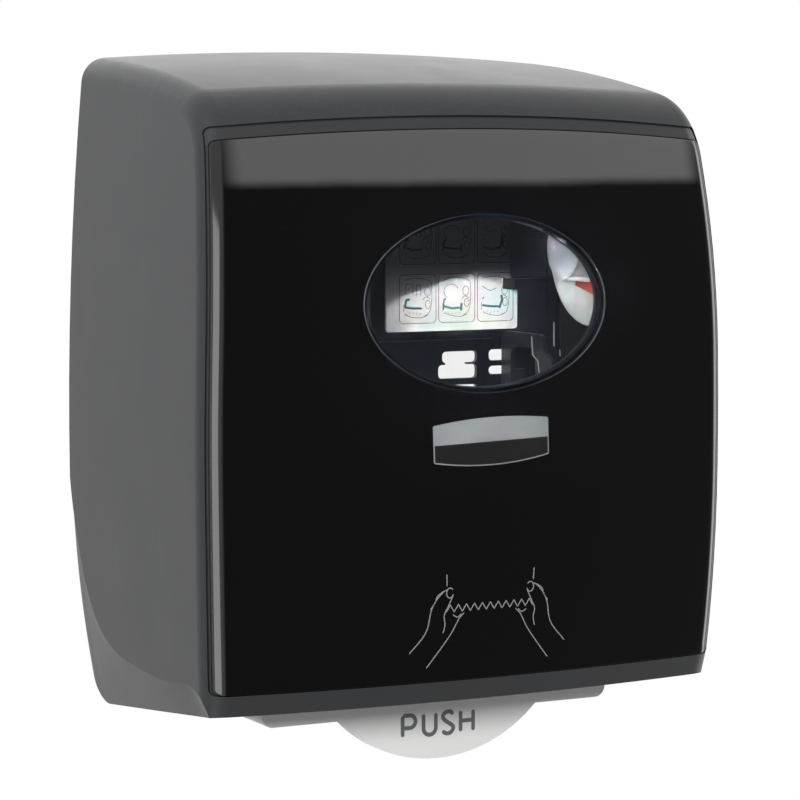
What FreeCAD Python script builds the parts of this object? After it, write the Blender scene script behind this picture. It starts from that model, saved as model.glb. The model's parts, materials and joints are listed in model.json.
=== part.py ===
import FreeCAD, Part
import math
import os
from FreeCAD import Vector

# Wall-mounted lever paper towel dispenser: a drop-down cover over a roll holder and a drum
# mechanism with a knife inside the drum. All lengths are in millimetres.
#
# X runs along the wall, Y towards the wall (the wall is y = 0, the front faces -Y) and Z is up.
# Heights ("up") are counted from the bottom edge of the cover's front lip. The origin of the
# finished pieces is the middle of the four wall screws, ORIGIN_UP above that edge.

# ---- wall fixing
ORIGIN_UP = 170.0
SCREW_SPAN_X = 160.0
SCREW_SPAN_UP = 200.0
SCREW_HOLE_R = 3.0
SCREW_BOSS_R = 9.0
SCREW_BOSS_T = 4.0

# ---- outer form of the cover
HALF_WIDTH = 148.5        # half the width at the widest level
WAIST_UP = 125.0          # height of the widest level
SIDE_R = 2000.0           # barrel curve of the sides, seen from the front
SIDE_DEPTH = 178.0        # front of the cover at its two ends
FRONT_BOW = 14.0          # how far the middle of the front stands ahead of its ends
TOP_CROWN = 5.0           # how far the middle of the top stands above its ends
CORNER_R = 14.0           # rounding between the sides and the front and top
LIP_UP = 11.0             # height of the lip under the glossy panel
LIP_LEAN = 16.0           # degrees that the lip leans in
LOWER_FRONT_R = 950.0
PLUMB_FROM_UP = 110.0     # the front stands upright from here ...
PLUMB_LENGTH = 60.0       # ... for this height
UPPER_FRONT_R = 450.0
UPPER_FRONT_TURN = 13.0
SHOULDER_R = 42.0
SHOULDER_TURN = 65.4
TOP_R = 1000.0
TOP_TURN = 9.5
WALL = 3.0
WALL_GAP = 0.8            # rear edge of the cover to the wall
SCOOP_RISE = 96.0         # the scoop's crease climbs this much towards the wall
SCOOP_REACH = 19.0        # and dies out over about this length
SCOOP_STEP = 1.0          # ledge along the crease at the wall
FOOT_WALL_X = 132.0       # half width of the bottom edge at the wall
FOOT_FRONT_X = 140.5      # and at the lip
SCOOP_BULGE = 2.5

# ---- cover hinge, along the bottom of the wall side
HINGE_Y = -18.0
HINGE_UP = -1.0
HINGE_CLEAR_R = 17.2      # lower rear corner, round about the hinge so it turns clear of the wall
HINGE_PIN_R = 3.0
HINGE_EAR_R = 7.0
HINGE_EAR_X = 127.0
HINGE_EAR_T = 7.0
HINGE_CHEEK_T = 8.0

# ---- glossy front panel and its recess
PANEL_T = 1.6
PANEL_MARGIN = 4.0
PANEL_TOP_UP = 279.0
PANEL_TOP_RISE = 6.0
PANEL_CORNER_R = 4.0
PANEL_GAP = 0.4
LAND_T = 0.9
LAND_TOP = 6.8
LAND_SIDE = 2.0
SEAT_GAP = 0.1

# ---- window
WINDOW_UP = 199.0
WINDOW_HALF_X = 68.5
WINDOW_HALF_UP = 44.5
LENS_PROUD = 1.2
LENS_T = 2.0
LENS_FLANGE = 5.0
LENS_GAP = 0.3
RING_T = 2.0

# ---- lock in the right-hand side of the cover
LOCK_Y = -32.0
LOCK_UP = 284.0
LOCK_R = 9.0
LOCK_FLANGE_R = 11.0
LOCK_LENGTH = 17.0
TONGUE_LENGTH = 20.0
TONGUE_T = 2.5
TONGUE_W = 10.0
KEEPER_T = 3.0
KEEPER_GAP = 1.5
KEEPER_HOLD = 9.0
KEEPER_FOOT = 14.0

# ---- rear housing
PLATE_T = 3.0
PLATE_GAP = 1.5           # edge of the housing to the inside of the cover
RIM_T = 2.2
RIM_DEPTH = 12.0
RIM_FROM_UP = 34.0
SHELF_UP = -9.0
SHELF_T = 2.5
SHELF_DEPTH = 84.0
SHELF_HALF_X = 108.0
RIB_T = 2.0
RIB_H = 6.0
LABEL_X0 = 38.0
LABEL_X1 = 121.5
LABEL_UP0 = 173.0
LABEL_UP1 = 276.0
LABEL_T = 1.2

# ---- mechanism: side plates, drum, knife
FRAME_X = 112.0           # inner face of the side plates
FRAME_T = 2.5
DRUM_Y = -108.0
DRUM_UP = 62.0
DRUM_R = 38.0
DRUM_WALL = 4.0
DRUM_HALF = 104.0
DISC_T = 4.0
SLOT_FROM = -24.0         # knife slot, in degrees above the forward level
SLOT_TO = 14.0
BAND_COUNT = 6
BAND_W = 12.0
BAND_T = 1.4
BAND_PROUD = 0.4
SHAFT_R = 5.0
RUN = 0.06                # radial clearance of every running fit
BUSH_R = 8.0
BUSH_FLANGE_R = 11.0
BUSH_FLANGE_T = 1.5
KNIFE_AXIS_R = 22.0
KNIFE_AXIS_DEG = -65.0
KNIFE_TIP_R = 34.5
KNIFE_TIP_DEG = 4.0
KNIFE_PIN_R = 3.0
KNIFE_HALF = 99.0
BLADE_T = 1.0
BLADE_HEIGHT = 9.0
BLADE_LAP = 4.5
KNIFE_WEB_T = 4.0
TOOTH_PITCH = 6.0
TOOTH_DEPTH = 3.0
FOLLOWER_R = 4.0
FOLLOWER_PIN_R = 1.5
FOLLOWER_ARM = 11.0
CAM_BASE_R = 15.0
CAM_LOBE_R = 17.5
CAM_LOBE_NOSE_R = 7.0
CAM_CLEAR = 0.3
CAM_LOBE_DEG = 45.0       # the lobe pushes the knife out while the slot passes over the top
CAM_T = 3.5
WHEEL_R = 17.0
WHEEL_T = 8.0
WHEEL_X = 118.0
WHEEL_GRIPS = 12
WHEEL_GRIP_R = 3.0

# ---- pinch roller
PINCH_R = 11.0
PINCH_HALF = 100.0
PINCH_SHAFT_R = 4.0
NIP_DEG = 135.0           # place of the nip round the drum, in degrees above the forward level
NIP_GAP = 0.3
PINCH_ARM_X = 106.0
PINCH_ARM_T = 3.0
PINCH_PIVOT_Y = -48.0
PINCH_PIVOT_UP = 92.0

# ---- lever and its gears
GEAR_MODULE = 2.0
PINION_TEETH = 16
SECTOR_TEETH = 36
SECTOR_COUNT = 6
PRESSURE_DEG = 20.0
BACKLASH = 0.35
GEAR_W = 6.0
GEAR_X = 116.0
LEVER_AXIS_DEG = -67.4    # lever shaft as seen from the drum, degrees above the forward level
LEVER_SHAFT_R = 4.0
LEVER_FACE = 9.5          # front face of the lever ahead of its shaft
LEVER_T = 3.0
LEVER_HALF = 100.0
LEVER_LOW_UP = -14.5
LEVER_DEPTH = 38.0
LEVER_END_T = 2.5
LEVER_CORNER_R = 6.0
TAB_HALF = 57.5
TAB_LOW_UP = -38.5
LEVER_BOSS_R = 7.0

# ---- paper guides
GUIDE_GAP = 8.0           # front guide ahead of the drum
GUIDE_T = 2.0
SHROUD_GAP = 4.0
SHROUD_T = 2.0

# ---- roll holder
ROLL_Y = -112.0
ROLL_UP = 222.0
HUB_FLANGE_R = 41.5
HUB_FLANGE_T = 2.5
HUB_FACE_X = 104.0
SPIGOT_R = 18.0
SPIGOT_LENGTH = 16.0
SPIGOT_WALL = 2.5
HUB_AXLE_R = 6.0
ARM_X = 112.0
ARM_T = 3.5
ARM_ROOT_HALF = 20.0
ARM_TIP_R = 15.0
ARM_PIVOT_X = 120.0
ARM_PIVOT_Y = -12.0
ARM_KNUCKLE_R = 6.0
ARM_PIN_R = 3.0
LUG_T = 6.0

COVER_REACH = 400.0       # longer than anything, for cuts that run right through


# ---------------------------------------------------------------- small builders

def box(x0, x1, y0, y1, up0, up1):
    """Block between two corners."""
    return Part.makeBox(x1 - x0, y1 - y0, up1 - up0, Vector(x0, y0, up0))


def rod(radius, x0, x1, y, up):
    """Round bar along X."""
    return Part.makeCylinder(radius, x1 - x0, Vector(x0, y, up), Vector(1, 0, 0))


def sleeve(outer, inner, x0, x1, y, up):
    """Round tube along X."""
    return rod(outer, x0, x1, y, up).cut(rod(inner, x0 - 1, x1 + 1, y, up))


def post(radius, x, y, up0, up1):
    """Round bar along Z."""
    return Part.makeCylinder(radius, up1 - up0, Vector(x, y, up0), Vector(0, 0, 1))


def outline(corners, place):
    """Flat face with a list of (a, b, radius) corners; place(a, b) gives the point in space."""
    spots = [place(a, b) for a, b, _ in corners]
    stretches = []
    for k, (_, _, radius) in enumerate(corners):
        here = spots[k]
        back = (spots[k - 1] - here).normalize()
        ahead = (spots[(k + 1) % len(spots)] - here).normalize()
        half = back.getAngle(ahead) / 2
        reach = radius / math.tan(half)
        inward = (back + ahead).normalize() * (radius / math.sin(half) - radius)
        stretches.append((here + back * reach, here + inward, here + ahead * reach, radius))
    edges = []
    for k, (start, middle, end, radius) in enumerate(stretches):
        if radius > 0:
            edges.append(Part.Arc(start, middle, end).toShape())
        follow = stretches[(k + 1) % len(stretches)][0]
        if end.distanceToPoint(follow) > 1e-6:
            edges.append(Part.LineSegment(end, follow).toShape())
    return Part.Face(Part.Wire(edges))


def side_slab(corners, x0, x1):
    """Plate in the YZ plane from x0 to x1; corners are (y, up, radius)."""
    face = outline(corners, lambda y, up: Vector(x0, y, up))
    return face.extrude(Vector(x1 - x0, 0, 0))


def front_slab(corners, y0, y1):
    """Plate in the XZ plane from y0 to y1; corners are (x, up, radius)."""
    face = outline(corners, lambda x, up: Vector(x, y0, up))
    return face.extrude(Vector(0, y1 - y0, 0))


def both_sides(shape):
    """The shape and its mirror image across the middle plane."""
    return [shape, shape.mirror(Vector(0, 0, 0), Vector(1, 0, 0))]


def around(y, up, radius, degrees):
    """Point (y, up) at a radius round a centre; 0 degrees is forward (-Y), 90 is up."""
    angle = math.radians(degrees)
    return y - radius * math.cos(angle), up + radius * math.sin(angle)


def cut_all(shape, tools):
    """The shape less every tool."""
    for tool in tools:
        shape = shape.cut(tool)
    return shape


def join(shapes):
    """One solid out of overlapping shapes."""
    whole = shapes[0]
    for shape in shapes[1:]:
        whole = whole.fuse(shape)
    return whole.removeSplitter()


def save(name, shape):
    """Move a piece from lip heights to the origin and write it."""
    moved = shape.copy()
    moved.translate(Vector(0, 0, -ORIGIN_UP))
    moved.exportStep("parts/" + name + ".step")


# ---------------------------------------------------------------- outer form

def half_width(up, inset=0.0):
    """Half the width of the barrel-shaped sides at a height."""
    return HALF_WIDTH - inset - (SIDE_R - math.sqrt(SIDE_R ** 2 - (up - WAIST_UP) ** 2))


def front_profile(inset):
    """Tangent lines and arcs up the front, over the shoulder and back along the top."""
    lower_turn = math.degrees(math.asin((PLUMB_FROM_UP - LIP_UP) / LOWER_FRONT_R))
    lip_top_y = -SIDE_DEPTH + LOWER_FRONT_R * (1 - math.cos(math.radians(lower_turn)))
    below = 60.0
    steps = [(LOWER_FRONT_R, lower_turn), (None, PLUMB_LENGTH), (UPPER_FRONT_R, UPPER_FRONT_TURN),
             (SHOULDER_R, SHOULDER_TURN), (TOP_R, TOP_TURN)]
    heading = -lower_turn
    lean = math.radians(LIP_LEAN)
    crease = Vector(0, lip_top_y, LIP_UP)
    facing = math.radians(heading)
    point = crease + Vector(0, math.cos(facing), -math.sin(facing)) * inset
    foot = point + Vector(0, math.sin(lean), -math.cos(lean)) * below
    edges = [Part.LineSegment(foot, point).toShape()]
    for radius, amount in steps:
        facing = math.radians(heading)
        if radius is None:
            end = point + Vector(0, math.sin(facing), math.cos(facing)) * amount
            edges.append(Part.LineSegment(point, end).toShape())
        else:
            spoke = radius - inset
            centre = point + Vector(0, math.cos(facing), -math.sin(facing)) * spoke
            half = math.radians(heading + amount / 2)
            last = math.radians(heading + amount)
            middle = centre + Vector(0, -math.cos(half), math.sin(half)) * spoke
            end = centre + Vector(0, -math.cos(last), math.sin(last)) * spoke
            edges.append(Part.Arc(point, middle, end).toShape())
            heading += amount
        point = end
    rear = Vector(0, point.y, foot.z)
    edges.append(Part.LineSegment(point, rear).toShape())
    edges.append(Part.LineSegment(rear, foot).toShape())
    return Part.Wire(edges)


def barrel_prism(inset, up0, up1, y0, y1):
    """Block with barrel-curved sides, from y0 to y1."""
    def side(sign):
        spots = [Vector(sign * half_width(up, inset), y0, up) for up in (up0, (up0 + up1) / 2, up1)]
        return Part.Arc(*spots).toShape()
    right, left = side(1), side(-1)
    top = Part.LineSegment(right.Vertexes[-1].Point, left.Vertexes[-1].Point).toShape()
    bottom = Part.LineSegment(left.Vertexes[0].Point, right.Vertexes[0].Point).toShape()
    wire = Part.Wire(Part.sortEdges([right, top, left, bottom])[0])
    return Part.Face(wire).extrude(Vector(0, y1 - y0, 0))


FORMS = {}


def form(inset):
    """The cover's full outer form, shrunk by inset; it runs past the wall and below the lip."""
    if inset in FORMS:
        return FORMS[inset]
    profile = front_profile(inset)
    sections = []
    for step in range(-4, 5):
        x = step * 40.0
        bow = 1 - (x / HALF_WIDTH) ** 2
        section = profile.copy()
        section.translate(Vector(x, -FRONT_BOW * bow, TOP_CROWN * bow))
        sections.append(section)
    body = Part.makeLoft(sections, True, False)
    body = body.common(barrel_prism(inset, -90.0, 400.0, 60.0, -300.0))
    rounded = []
    for edge in body.Edges:
        room = edge.BoundBox
        along_side = room.XMin * room.XMax > 0 and room.XLength < 14 and abs(room.Center.x) > 120
        if along_side and room.YMin < 15 and room.ZMax > -40 and room.YMin > -250:
            if not (room.YLength < 0.1 and room.YMin > -100):
                rounded.append(edge)
    FORMS[inset] = body.makeFillet(CORNER_R - inset, rounded)
    return FORMS[inset]


def underside_prism(x_half):
    """Side view of the cover: level lip, sloping underside and the round corner at the hinge."""
    lip_y = -SIDE_DEPTH + 7.0
    span = math.hypot(lip_y - HINGE_Y, HINGE_UP)
    line_angle = math.atan2(-HINGE_UP, lip_y - HINGE_Y) + math.acos(HINGE_CLEAR_R / span)
    low = Vector(-x_half, HINGE_Y + HINGE_CLEAR_R * math.cos(line_angle),
                 HINGE_UP + HINGE_CLEAR_R * math.sin(line_angle))
    turn = math.radians(-45)
    middle = Vector(-x_half, HINGE_Y + HINGE_CLEAR_R * math.cos(turn),
                    HINGE_UP + HINGE_CLEAR_R * math.sin(turn))
    rear = Vector(-x_half, HINGE_Y + HINGE_CLEAR_R, HINGE_UP)
    spots = [rear, Vector(-x_half, -WALL_GAP, HINGE_UP), Vector(-x_half, -WALL_GAP, COVER_REACH),
             Vector(-x_half, -COVER_REACH, COVER_REACH), Vector(-x_half, -COVER_REACH, 0),
             Vector(-x_half, lip_y, 0), low]
    edges = []
    for start, end in zip(spots, spots[1:]):
        if start.distanceToPoint(end) > 1e-3:
            edges.append(Part.LineSegment(start, end).toShape())
    edges.append(Part.Arc(low, middle, rear).toShape())
    return Part.Face(Part.Wire(edges)).extrude(Vector(2 * x_half, 0, 0))


def scoop_section(y, inset):
    """Outline, at one depth, of what the right-hand scoop takes away."""
    fade = math.exp(y / SCOOP_REACH)
    crease_up = LIP_UP + SCOOP_RISE * min(fade, 1.6) + inset * 0.3
    share = min(max(-y / SIDE_DEPTH, 0.0), 1.0)
    foot_up = -24.0 * (1 - share) - 6.0
    foot_x = FOOT_WALL_X + (FOOT_FRONT_X - FOOT_WALL_X) * share - inset - 1.0
    crease_x = half_width(crease_up, inset) - SCOOP_STEP * min(fade, 1.0) - 0.1
    low = Vector(foot_x, y, foot_up)
    high = Vector(crease_x, y, crease_up)
    middle = (low + high) * 0.5 + Vector(SCOOP_BULGE * min(fade * 1.5, 1.0), 0, 0)
    outer_high = Vector(HALF_WIDTH + 20, y, crease_up)
    outer_low = Vector(HALF_WIDTH + 20, y, foot_up)
    return Part.Wire([Part.Arc(low, middle, high).toShape(),
                      Part.LineSegment(high, outer_high).toShape(),
                      Part.LineSegment(outer_high, outer_low).toShape(),
                      Part.LineSegment(outer_low, low).toShape()])


def scoop(inset):
    """Cutter for the right-hand scoop: the side sweeps in below a crease that climbs to the wall."""
    depths = (12.0, 0.0, -9.0, -18.0, -28.0, -40.0, -60.0, -90.0, -125.0, -160.0, -200.0)
    return Part.makeLoft([scoop_section(y, inset) for y in depths], True, False)


def scooped(inset):
    """The outer form with both scoops cut away."""
    return cut_all(form(inset), both_sides(scoop(inset)))


# ---------------------------------------------------------------- cover

def panel_prism(margin, bottom, top_side, top_rise):
    """Front view of the glossy panel: barrel sides, level bottom and an arched top."""
    right_low = Vector(half_width(bottom, margin), -100, bottom)
    middle_up = (bottom + top_side) / 2
    right_mid = Vector(half_width(middle_up, margin), -100, middle_up)
    right_top = Vector(half_width(top_side, margin), -100, top_side)
    left = [Vector(-p.x, p.y, p.z) for p in (right_top, right_mid, right_low)]
    crown = Vector(0, -100, top_side + top_rise)
    edges = [Part.Arc(right_low, right_mid, right_top).toShape(),
             Part.Arc(right_top, crown, left[0]).toShape(),
             Part.Arc(*left).toShape(),
             Part.LineSegment(left[2], right_low).toShape()]
    prism = Part.Face(Part.Wire(edges)).extrude(Vector(0, -COVER_REACH, 0))
    upright = [e for e in prism.Edges if abs(e.BoundBox.YLength - COVER_REACH) < 1]
    return prism.makeFillet(PANEL_CORNER_R, upright)


def window_prism(grow, y0=-100.0, y1=-COVER_REACH):
    """Elliptical block, the window grown by an amount."""
    centre = Vector(0, y0, WINDOW_UP)
    side = Vector(WINDOW_HALF_X + grow, y0, WINDOW_UP)
    top = Vector(0, y0, WINDOW_UP + WINDOW_HALF_UP + grow)
    wire = Part.Wire(Part.Ellipse(side, top, centre).toShape())
    return Part.Face(wire).extrude(Vector(0, y1 - y0, 0))


def layer(outer, inner, prism):
    """The part of the skin between two insets that lies inside a prism."""
    return prism.common(form(outer)).cut(form(inner))


def cover_shell():
    """Matte cover: side walls, top, lip and the wall behind the glossy panel."""
    shell = scooped(0.0).common(underside_prism(HALF_WIDTH + 10)).cut(scooped(WALL))
    lip_flange = box(-HALF_WIDTH, HALF_WIDTH, -SIDE_DEPTH - 20, -SIDE_DEPTH + 15, 0, 3)
    shell = shell.fuse(lip_flange.common(scooped(0.5)))
    pocket = panel_prism(PANEL_MARGIN - PANEL_GAP, LIP_UP - PANEL_GAP, PANEL_TOP_UP + PANEL_GAP,
                         PANEL_TOP_RISE)
    shell = shell.cut(pocket.cut(form(PANEL_T + SEAT_GAP)))
    land = panel_prism(PANEL_MARGIN - LAND_SIDE, LIP_UP - PANEL_GAP, PANEL_TOP_UP + LAND_TOP,
                       PANEL_TOP_RISE)
    shell = shell.cut(land.cut(form(LAND_T)))
    shell = shell.cut(window_prism(0))
    ears = both_sides(rod(HINGE_EAR_R, HINGE_EAR_X, HINGE_EAR_X + HINGE_EAR_T, HINGE_Y, HINGE_UP))
    bores = both_sides(rod(HINGE_PIN_R + RUN, HINGE_EAR_X - 1, HINGE_EAR_X + HINGE_EAR_T - 1.5,
                           HINGE_Y, HINGE_UP))
    for ear in ears:
        shell = shell.fuse(ear)
    ribs = form(WALL - 0.5).cut(form(WALL + 4.0))
    for up in (45.0, 92.0, 138.0):
        band = box(-128, 128, -COVER_REACH, -120, up, up + 2.2)
        shell = shell.fuse(ribs.common(band))
    lock_wall = half_width(LOCK_UP)
    hole = rod(LOCK_R + RUN, lock_wall - 12, lock_wall + 12, LOCK_Y, LOCK_UP)
    boss = rod(LOCK_R + 3.5, lock_wall - WALL - 6, lock_wall - WALL + 1, LOCK_Y, LOCK_UP)
    seat = rod(LOCK_FLANGE_R + 0.4, lock_wall - 1.0, lock_wall + 10, LOCK_Y, LOCK_UP)
    shell = cut_all(shell.fuse(boss), bores + [hole, seat])
    return shell.removeSplitter()


def front_panel():
    """Glossy panel, a thin skin over the front that wraps over the shoulder and the corners."""
    outline_prism = panel_prism(PANEL_MARGIN, LIP_UP, PANEL_TOP_UP, PANEL_TOP_RISE)
    return layer(0.0, PANEL_T, outline_prism).cut(window_prism(0))


def window_lens():
    """Clear window: a dished face that stands proud, a skirt through the opening and a flange."""
    face_prism = window_prism(-LENS_GAP)
    plug = layer(-LENS_PROUD, WALL + SEAT_GAP, face_prism)
    flange = layer(WALL + SEAT_GAP, WALL + SEAT_GAP + LENS_T, window_prism(LENS_FLANGE))
    hollow = window_prism(-LENS_GAP - LENS_T).common(form(LENS_T - LENS_PROUD))
    return plug.fuse(flange).cut(hollow).removeSplitter()


def lens_ring():
    """Clip ring behind the window's flange, with six clip feet."""
    seat = WALL + 2 * SEAT_GAP + LENS_T
    ring = layer(seat, seat + RING_T, window_prism(LENS_FLANGE)).cut(window_prism(-3.0))
    feet = []
    for degrees in (30, 90, 150, 210, 270, 330):
        angle = math.radians(degrees)
        x = (WINDOW_HALF_X + LENS_FLANGE + 2.5) * math.cos(angle)
        up = WINDOW_UP + (WINDOW_HALF_UP + LENS_FLANGE + 2.5) * math.sin(angle)
        feet.append(box(x - 4, x + 4, -COVER_REACH, -100, up - 4, up + 4))
    lugs = form(WALL + SEAT_GAP).cut(form(seat + RING_T))
    opening = window_prism(LENS_FLANGE + 0.4)
    for foot in feet:
        lug = lugs.common(foot).cut(opening.common(form(0.0)).cut(form(seat)))
        ring = ring.fuse(lug)
    return ring.removeSplitter()


def lock_barrel():
    """Round lock with a key slot, flush in the side wall."""
    wall = half_width(LOCK_UP)
    body = rod(LOCK_R, wall - LOCK_LENGTH, wall - 0.5, LOCK_Y, LOCK_UP)
    rim = rod(LOCK_FLANGE_R, wall - 1.0, wall + 0.4, LOCK_Y, LOCK_UP)
    slot = box(wall - 6, wall + 2, LOCK_Y - 1.2, LOCK_Y + 1.2, LOCK_UP - 5, LOCK_UP + 5)
    return body.fuse(rim).cut(slot).removeSplitter()


def lock_tongue():
    """Flat tongue on the inner end of the lock; it points to the wall when unlocked, up when locked."""
    inner = half_width(LOCK_UP) - LOCK_LENGTH
    r = TONGUE_W / 2
    return side_slab([(LOCK_Y - r, LOCK_UP - r, r * 0.95), (LOCK_Y - r, LOCK_UP + r, r * 0.95),
                      (LOCK_Y + TONGUE_LENGTH, LOCK_UP + r, 2), (LOCK_Y + TONGUE_LENGTH, LOCK_UP - r, 2)],
                     inner - TONGUE_T, inner)


# ---------------------------------------------------------------- rear housing

def plate_outline(y0, y1, inset, from_up):
    """Slice of the cover's inner form between two depths, above a height.

    The scoops are taken at their deepest, so that the cover turns clear of the slice.
    """
    slab = box(-HALF_WIDTH, HALF_WIDTH, y0, y1, from_up, COVER_REACH)
    deepest = Part.Face(scoop_section(0, inset)).extrude(Vector(0, -60, 0))
    deepest.translate(Vector(0, 20, 0))
    return cut_all(slab.common(form(inset)), both_sides(deepest))


def wall_cutouts():
    """Openings through the plate for older screw spacings and for a cable, on both sides."""
    shapes = []
    for x0, x1, up0, up1 in ((74, 96.3, 154.6, 161), (71.5, 96.3, 145.8, 153.6), (79, 96.4, 138.2, 142.2),
                             (103.8, 115.2, 155.1, 161.4), (103.8, 115.2, 147.3, 152.1),
                             (105.4, 115.2, 138.4, 140.4)):
        r = min(2.4, (up1 - up0) / 2 - 0.05)
        shapes.append(front_slab([(x0, up0, r), (x1, up0, r), (x1, up1, r), (x0, up1, r)], 1, -PLATE_T - 1))
    shapes.append(box(76, 90, -PLATE_T - 1, 1, 153, 155.2))
    whole = join(shapes)
    return both_sides(whole)


def rear_housing():
    """Back plate with rim, screw bosses, ribs, arm lugs, hinge cheeks and lower shelf."""
    edge = WALL + PLATE_GAP
    front = -PLATE_T
    plate = plate_outline(front, 0, edge, RIM_FROM_UP)
    foot_half = HINGE_EAR_X - 0.5
    foot = front_slab([(-foot_half, SHELF_UP - SHELF_T, 3), (foot_half, SHELF_UP - SHELF_T, 3),
                       (foot_half, RIM_FROM_UP + 5, 0), (-foot_half, RIM_FROM_UP + 5, 0)], 0, front)
    rim = plate_outline(front - RIM_DEPTH, front + 0.5, edge, RIM_FROM_UP)
    rim = rim.cut(plate_outline(front - RIM_DEPTH - 1, front + 1, edge + RIM_T, RIM_FROM_UP - 1))
    shelf = box(-SHELF_HALF_X, SHELF_HALF_X, -SHELF_DEPTH, front + 0.5, SHELF_UP - SHELF_T, SHELF_UP)
    pieces = [plate, foot, rim, shelf]
    for up in (118.0, 166.0, 282.0):
        pieces.append(box(-104, 104, front - RIB_H, front + 0.5, up, up + RIB_T))
    for x in (-60.0, 0.0, 26.0):
        pieces.append(box(x, x + RIB_T, front - RIB_H, front + 0.5, 118, 306))
    lug_y = ARM_PIVOT_Y - ARM_KNUCKLE_R
    knuckle_top = ROLL_UP + ARM_ROOT_HALF
    knuckle_low = ROLL_UP - ARM_ROOT_HALF
    for up0 in (knuckle_low - LUG_T - 0.4, knuckle_top + 0.4):
        pieces += both_sides(box(ARM_PIVOT_X - 8, ARM_PIVOT_X + 13, lug_y, front + 0.5, up0, up0 + LUG_T))
    cheek = side_slab([(front + 0.5, HINGE_UP - 9, 0), (front + 0.5, HINGE_UP + 16, 0),
                       (HINGE_Y - 8, HINGE_UP + 8, 6), (HINGE_Y - 8, HINGE_UP - 9, 6)],
                      HINGE_EAR_X - 0.5 - HINGE_CHEEK_T, HINGE_EAR_X - 0.5)
    pieces += both_sides(cheek)
    bosses = []
    holes = []
    for x in (-SCREW_SPAN_X / 2, SCREW_SPAN_X / 2):
        for up in (ORIGIN_UP - SCREW_SPAN_UP / 2, ORIGIN_UP + SCREW_SPAN_UP / 2):
            bosses.append(Part.makeCylinder(SCREW_BOSS_R, SCREW_BOSS_T + 0.5, Vector(x, front + 0.5, up),
                                            Vector(0, -1, 0)))
            holes.append(Part.makeCylinder(SCREW_HOLE_R, 20, Vector(x, 5, up), Vector(0, -1, 0)))
    housing = join(pieces + bosses)
    pins = both_sides(rod(HINGE_PIN_R, HINGE_EAR_X - 20, HINGE_EAR_X + 2, HINGE_Y, HINGE_UP))
    arm_bores = both_sides(post(ARM_PIN_R, ARM_PIVOT_X, ARM_PIVOT_Y, knuckle_low - 10, knuckle_top + 10))
    label_pocket = box(LABEL_X0 - 0.5, LABEL_X1 + 0.5, front - LABEL_T - 0.3, front,
                       LABEL_UP0 - 0.5, LABEL_UP1 + 0.5)
    return cut_all(housing, holes + pins + arm_bores + wall_cutouts() + [label_pocket]).removeSplitter()


def lock_keeper():
    """Bracket on the back plate whose hooked end the turned tongue stands behind."""
    side = half_width(LOCK_UP) - LOCK_LENGTH - TONGUE_T - KEEPER_GAP
    hook = LOCK_Y - TONGUE_W / 2 - 1.0
    low = LOCK_UP + TONGUE_LENGTH - KEEPER_HOLD
    high = LOCK_UP + TONGUE_LENGTH + KEEPER_GAP
    arm = box(side - KEEPER_T, side, hook - KEEPER_T, -PLATE_T, low, high)
    lip = box(side - KEEPER_T, side + KEEPER_GAP + TONGUE_T, hook - KEEPER_T, hook, low, high)
    foot = box(side - KEEPER_FOOT, side, -PLATE_T - KEEPER_T, -PLATE_T, low, high)
    return join([arm, lip, foot])


def instruction_plate():
    """Flat plate on the housing behind the window."""
    corners = [(LABEL_X0, LABEL_UP0, 2), (LABEL_X1, LABEL_UP0, 2), (LABEL_X1, LABEL_UP1, 2), (LABEL_X0, LABEL_UP1, 2)]
    return front_slab(corners, -PLATE_T, -PLATE_T - LABEL_T)


def hinge_pins():
    """Two steel pins from the housing's cheeks into the cover's ears."""
    return Part.makeCompound(both_sides(rod(HINGE_PIN_R, HINGE_EAR_X - 0.5 - HINGE_CHEEK_T,
                                            HINGE_EAR_X + HINGE_EAR_T - 2, HINGE_Y, HINGE_UP)))


# ---------------------------------------------------------------- mechanism frame

def lever_axis():
    """Place of the lever shaft: one gear centre distance from the drum shaft."""
    distance = GEAR_MODULE * (PINION_TEETH + SECTOR_TEETH) / 2
    return around(DRUM_Y, DRUM_UP, distance, LEVER_AXIS_DEG)


def pinch_axis():
    """Place of the pinch roller, just off the drum's grip bands."""
    return around(DRUM_Y, DRUM_UP, DRUM_R + BAND_PROUD + PINCH_R + NIP_GAP, NIP_DEG)


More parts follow.
